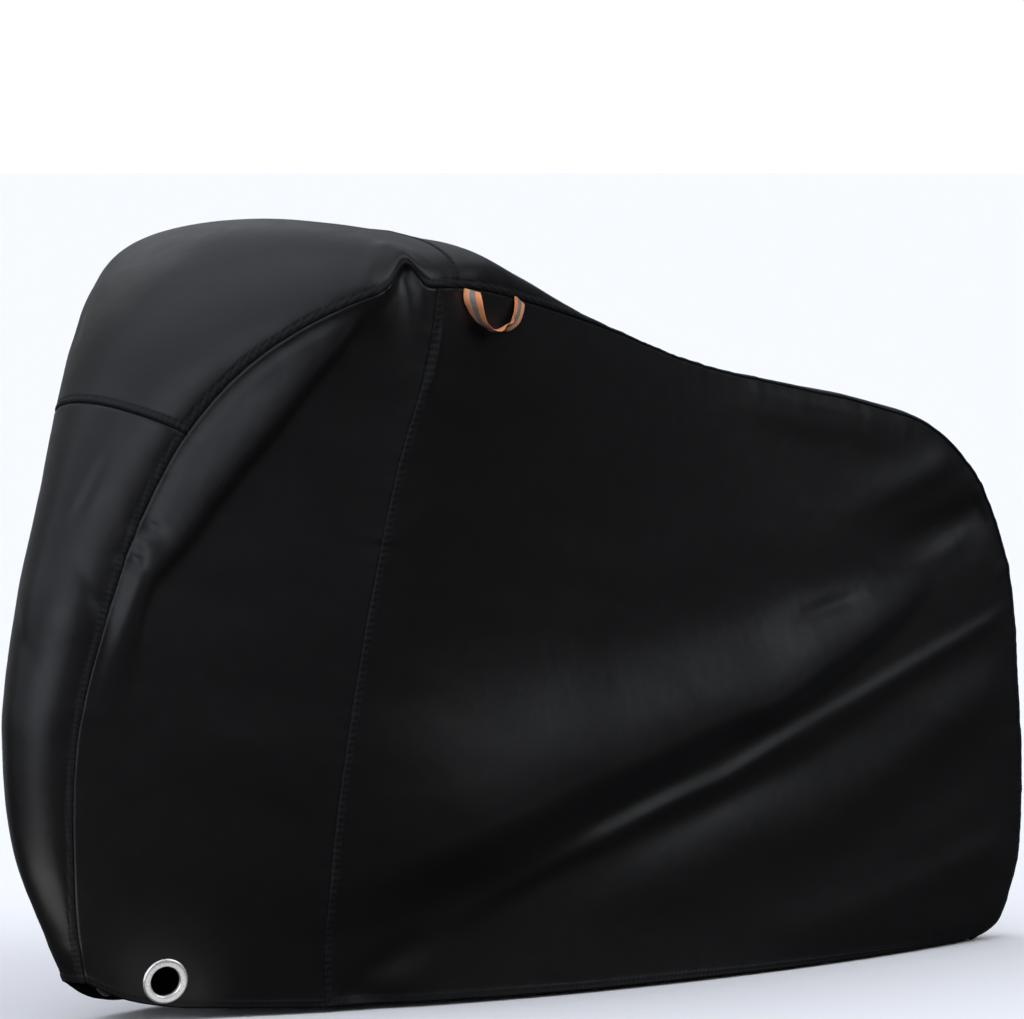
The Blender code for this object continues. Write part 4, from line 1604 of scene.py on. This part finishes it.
@dataclass(frozen=True)
class WebbingLoop:
    """The flat loop of webbing that hangs below the hood's edge and stands on edge at its bottom."""

    width: float = 25.0 * MM
    thick: float = 1.7 * MM
    steps: int = 150
    across: int = 16
    selvedge: float = 0.55         # how much thinner its edges are
    squareness: int = 14           # how close to the edge it thins

    def section(self) -> np.ndarray:
        """The band's section, with rounded selvedges.

        Returns:
            Its points, as width and thickness.
        """
        flat = np.linspace(-0.5, 0.5, self.across + 1)
        edge = 1 - np.abs(2 * flat) ** self.squareness * self.selvedge
        top = np.stack([flat * self.width, 0.5 * self.thick * edge], 1)
        return np.concatenate([top, top[::-1] * (1, -1)])

    def build(self) -> bpy.types.Object:
        """Sweeps the section along the loop.

        Returns:
            The object.
        """
        rows = numbers(WEB_LOOP)
        curve = Curve(rows[:, :3])
        at = curve.spaced(0, len(rows) - 1, np.linspace(0, 1, self.steps + 1))
        middle = curve.at(at)
        turns = np.interp(at, range(len(rows)), np.radians(rows[:, 3]))
        ahead = unit(np.gradient(middle, axis=0))
        wide = np.stack([np.cos(turns), np.sin(turns), 0 * turns], 1)
        wide = unit(wide - (wide * ahead).sum(1)[:, None] * ahead)
        section = self.section()
        points = sections_at(middle, wide, np.cross(ahead, wide), section)
        count = len(section)
        k = np.arange(self.across)
        cap = np.stack([k, k + 1, count - 2 - k, count - 1 - k], 1)
        band = band_faces(self.steps + 1, count)[:, ::-1]
        faces = np.concatenate([band, cap, cap[:, ::-1] + self.steps * count])
        over = np.tile(section[:, 0] + self.width / 2, self.steps + 1)
        cut = np.stack([np.repeat(running(middle), count), over], 1)
        return mesh_object("webbing_band", points.reshape(-1, 3), faces, cut)


# ---- studio

@dataclass(frozen=True)
class Lamp:
    """A soft light that is far away: where it comes from, how wide and how strong it is."""

    name: str
    azimuth: float
    elevation: float
    width: float
    strength: float
    colour: Triple = (1.0, 1.0, 1.0)


@dataclass(frozen=True)
class Card:
    """A small white card on the floor, which shows only in what reflects it."""

    name: str
    x: float
    y: float
    radius: float
    strength: float


@dataclass(frozen=True)
class Studio:
    """The camera, the lights, the air and the floor."""

    azimuth: float = -43.0
    elevation: float = 3.1
    distance: float = 14.0
    target: Triple = (-0.04, 0.0, 0.681)
    lens_pixels: float = 9702.0
    picture_width: int = 1024
    sensor_width: float = 36.0     # in millimetres
    sight: float = 500.0           # how far the camera sees
    lamp_distance: float = 6.0
    room_light: float = 0.015      # what the white room gives; the camera sees the room at full strength
    disc_sides: int = 96
    floor_radius: float = 60.0
    floor_height: float = -0.0035
    cards: tuple[Card, ...] = (
        Card("eyelet_card", -0.765, -0.170, 0.085, 0.85),
        Card("gusset_card", -1.260, -0.130, 0.280, 3.0),
    )
    lamps: tuple[Lamp, ...] = (
        Lamp("front key", -100.0, 44.0, 100.0, 1.72, (0.86, 0.89, 1.0)),
        Lamp("gusset light", -127.0, 34.0, 34.0, 0.13, (0.86, 0.89, 1.0)),
        Lamp("low front light", -60.0, 8.0, 44.0, 1.22, (0.86, 0.89, 1.0)),
        Lamp("fold light", 28.0, 34.0, 38.0, 1.12, (0.93, 0.96, 1.0)),
        Lamp("low fold light", 30.0, 12.0, 30.0, 0.10, (0.93, 0.96, 1.0)),
        Lamp("rear fold light", 78.0, 44.0, 48.0, 0.05, (0.93, 0.96, 1.0)),
        Lamp("high soft light", -60.0, 78.0, 80.0, 1.18, (0.86, 0.89, 1.0)),
        Lamp("back light", 140.0, 46.0, 62.0, 0.40, (0.90, 0.94, 1.0)),
        Lamp("right side light", 168.0, 14.0, 60.0, 0.24, (0.93, 0.96, 1.0)),
    )

    def way(self, azimuth: float, elevation: float) -> Vector:
        """The direction from the object to a viewer or a light; azimuth 0 is at -Y."""
        a, e = radians(azimuth), radians(elevation)
        return Vector((sin(a) * cos(e), -cos(a) * cos(e), sin(e)))

    def set_camera(self) -> None:
        """Places the camera at the photograph's viewing angle."""
        data = bpy.data.cameras.new("camera")
        data.sensor_fit = "HORIZONTAL"
        data.sensor_width = self.sensor_width
        data.lens = self.sensor_width * self.lens_pixels / self.picture_width
        data.clip_end = self.sight
        camera = add_object("camera", data)
        way = self.way(self.azimuth, self.elevation)
        camera.location = Vector(self.target) + way * self.distance
        camera.rotation_euler = (-way).to_track_quat("-Z", "Y").to_euler()
        bpy.context.scene.camera = camera

    def set_lamps(self) -> None:
        """Hangs the soft lights."""
        for lamp in self.lamps:
            data = bpy.data.lights.new(lamp.name, "SUN")
            data.energy = lamp.strength
            data.angle = radians(lamp.width)
            data.color = lamp.colour
            light = add_object(lamp.name, data)
            way = self.way(lamp.azimuth, lamp.elevation)
            light.rotation_euler = way.to_track_quat("Z", "Y").to_euler()
            light.location = way * self.lamp_distance

    def set_air(self) -> None:
        """Fills the room with a little soft light, and the far wall with white."""
        world = bpy.data.worlds.new("studio")
        world.use_nodes = True
        bpy.context.scene.world = world
        g = Graph(world.node_tree)
        seen = g.add("ShaderNodeLightPath", None, None, "Is Camera Ray")
        air = g.add("ShaderNodeBackground", None,
                    {"Color": (1.0, 1.0, 1.0), "Strength": self.room_light + seen})
        end = g.tree.nodes.new("ShaderNodeOutputWorld")
        g.feed(end.inputs["Surface"], air)

    def disc(self, name: str, radius: float, finish: bpy.types.Material) -> bpy.types.Object:
        """Makes a flat round stage piece.

        Args:
            name: its name.
            radius: its radius.
            finish: its material.

        Returns:
            The piece.
        """
        corner = np.arange(self.disc_sides)
        turn = 2 * pi * corner / self.disc_sides
        points = radius * np.stack([np.cos(turn), np.sin(turn), 0 * turn], 1)
        made = mesh_object("studio_" + name, points, corner[None])
        made.data.materials.append(finish)
        return made

    def lay_cards(self) -> None:
        """Lays the white cards."""
        for card in self.cards:
            finish, g = new_finish("white " + card.name, (1.0, 1.0, 1.0))
            g.surface({"Base Color": (0.0, 0.0, 0.0), "Specular IOR Level": 0.0,
                       "Emission Color": (1.0, 1.0, 1.0), "Emission Strength": card.strength})
            made = self.disc(card.name, card.radius, finish)
            made.location = (card.x, card.y, 0.0)
            for ray in ("camera", "diffuse", "transmission", "volume_scatter", "shadow"):
                setattr(made, "visible_" + ray, False)

    def lay_floor(self) -> None:
        """Lays the pale floor."""
        floor = self.disc("floor", self.floor_radius, PaleFloor().material())
        floor.location.z = self.floor_height
        floor.visible_glossy = False
        floor.visible_diffuse = False


# ---- the cover

@dataclass
class Cover:
    """The whole cover: its cloth pieces, thread, eyelets and webbing."""

    cloth: ClothSurface = field(default_factory=ClothSurface)
    fabric: CoatedCloth = field(default_factory=CoatedCloth)
    thread: SewingThread = field(default_factory=SewingThread)
    nickel: NickelPlate = field(default_factory=NickelPlate)
    stitch_columns: int = 30       # the points nearest an edge, among which its stitches lie

    def shape_cloth(self) -> None:
        """Lays the cloth out and works it into its final form."""
        self.cloth.lay_out()
        self.cloth.measure_seams()
        self.eyelets = [EyeletPlace(side) for side in Side]
        self.cloth.fold()
        self.cloth.pull(BAR_END_PULL)
        self.cloth.crease()
        self.cloth.wrinkle()
        for eyelet in self.eyelets:
            eyelet.flatten(self.cloth, eyelet.flat, eyelet.blend)
        self.cloth.work_seams()
        for eyelet in self.eyelets:
            eyelet.flatten(self.cloth, eyelet.press, eyelet.press_blend)

    def keep(self, piece: bpy.types.Object, slot: Slot, finish: bpy.types.Material, *nodes: str) -> None:
        """Dresses a piece and ties it to the frame.

        Args:
            piece: the object.
            slot: the record's slot for its finish; not used.
            finish: its material.
            nodes: the CAD nodes that it stands for.
        """
        piece.data.materials.clear()
        piece.data.materials.append(finish)
        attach(piece, "root")
        if nodes:
            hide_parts(*nodes)
        log.info("%s: %d faces", piece.name, len(piece.data.polygons))

    def cut_cloth(self) -> None:
        """Cuts the surface into its pieces."""
        cloth, finish, whole = self.cloth, self.fabric.material(), slice(None)
        strip, cross, back = cloth.grids["strip"], cloth.cross_row, cloth.back_row
        cuts = [
            (ClothPiece("front_gusset_cloth", ("front_gusset",), (0.32, 0.87), 0.170),
             strip, slice(cross + 1)),
            (ClothPiece("hood_cloth", ("hood",), (0.68, 0.47), 0.285), strip, slice(cross, back + 1)),
            (ClothPiece("rear_strip_cloth", ("rear_strip",), (0.68, 2.10), 0.500), strip, slice(back, None)),
        ]
        for eyelet in self.eyelets:
            word = eyelet.side.word
            front, rear = "side_front_" + word, "side_rear_" + word
            eyelet.open_hole(cloth, cloth.grids[front])
            nodes = (front, "eyelet_strip_" + word)
            cuts += [
                (ClothPiece("side_front_cloth_" + word, nodes, (0.40, 1.08), 0.335),
                 cloth.grids[front], whole),
                (ClothPiece("side_rear_cloth_" + word, (rear,), (1.55, 1.06), 1.330),
                 cloth.grids[rear], whole),
            ]
        for piece, grid, rows in cuts:
            made = piece.shell(cloth, grid, rows)
            self.keep(made, Slot.CLOTH, finish, *piece.nodes)

    def sew(self) -> None:
        """Sews the stitches along the seams and hems."""
        finish = self.thread.material()
        strip, cross, back = self.cloth.grids["strip"].ids, self.cloth.cross_row, self.cloth.back_row
        seams = {}
        for side, edge in ((Side.LEFT, strip), (Side.RIGHT, strip[:, ::-1])):
            front, rear = (self.cloth.grids[part + side.word].ids for part in ("side_front_", "side_rear_"))
            seams["seam_line_stitches_" + side.word] = [(edge, SEAM_ROWS)]
            seams["upright_seam_stitches_" + side.word] = [(rear, SEAM_ROWS)]
            seams["hem_stitches_" + side.word] = [(front.T, HEM_ROWS), (rear.T, HEM_ROWS)]
        seams["strip_stitches"] = [(strip[cross:].T, SEAM_ROWS), (strip[back::-1].T, SEAM_ROWS),
                                   (strip.T, HEM_ROWS), (strip[::-1].T, HEM_ROWS)]
        for name, edges in seams.items():
            rows = StitchRows(name)
            for ids, distances in edges:
                for away in distances:
                    rows.follow(self.cloth, ids[:, :self.stitch_columns], away)
            self.keep(rows.build(), Slot.CLOTH, finish)

    def fit(self) -> None:
        """Fits the eyelets and the webbing loop."""
        metal = self.nickel.material()
        for place in self.eyelets:
            self.keep(PressedEyelet(place).build(), Slot.METAL, metal, "eyelet_ring_" + place.side.word)
        loop = WebbingLoop()
        webbing = StripedWebbing(loop.width).material()
        self.keep(loop.build(), Slot.WEBBING, webbing, "webbing_loop")


def main() -> None:
    """Builds the studio and the cover, and reports each piece."""
    logging.basicConfig(level=logging.INFO, format="%(name)s: %(message)s", stream=sys.stdout)
    studio = Studio()
    studio.set_camera()
    studio.set_lamps()
    studio.set_air()
    studio.lay_cards()
    studio.lay_floor()
    cover = Cover()
    cover.shape_cloth()
    cover.cut_cloth()
    cover.sew()
    cover.fit()
    bpy.context.scene.view_settings.view_transform = "Standard"


if __name__ == "__main__":
    main()
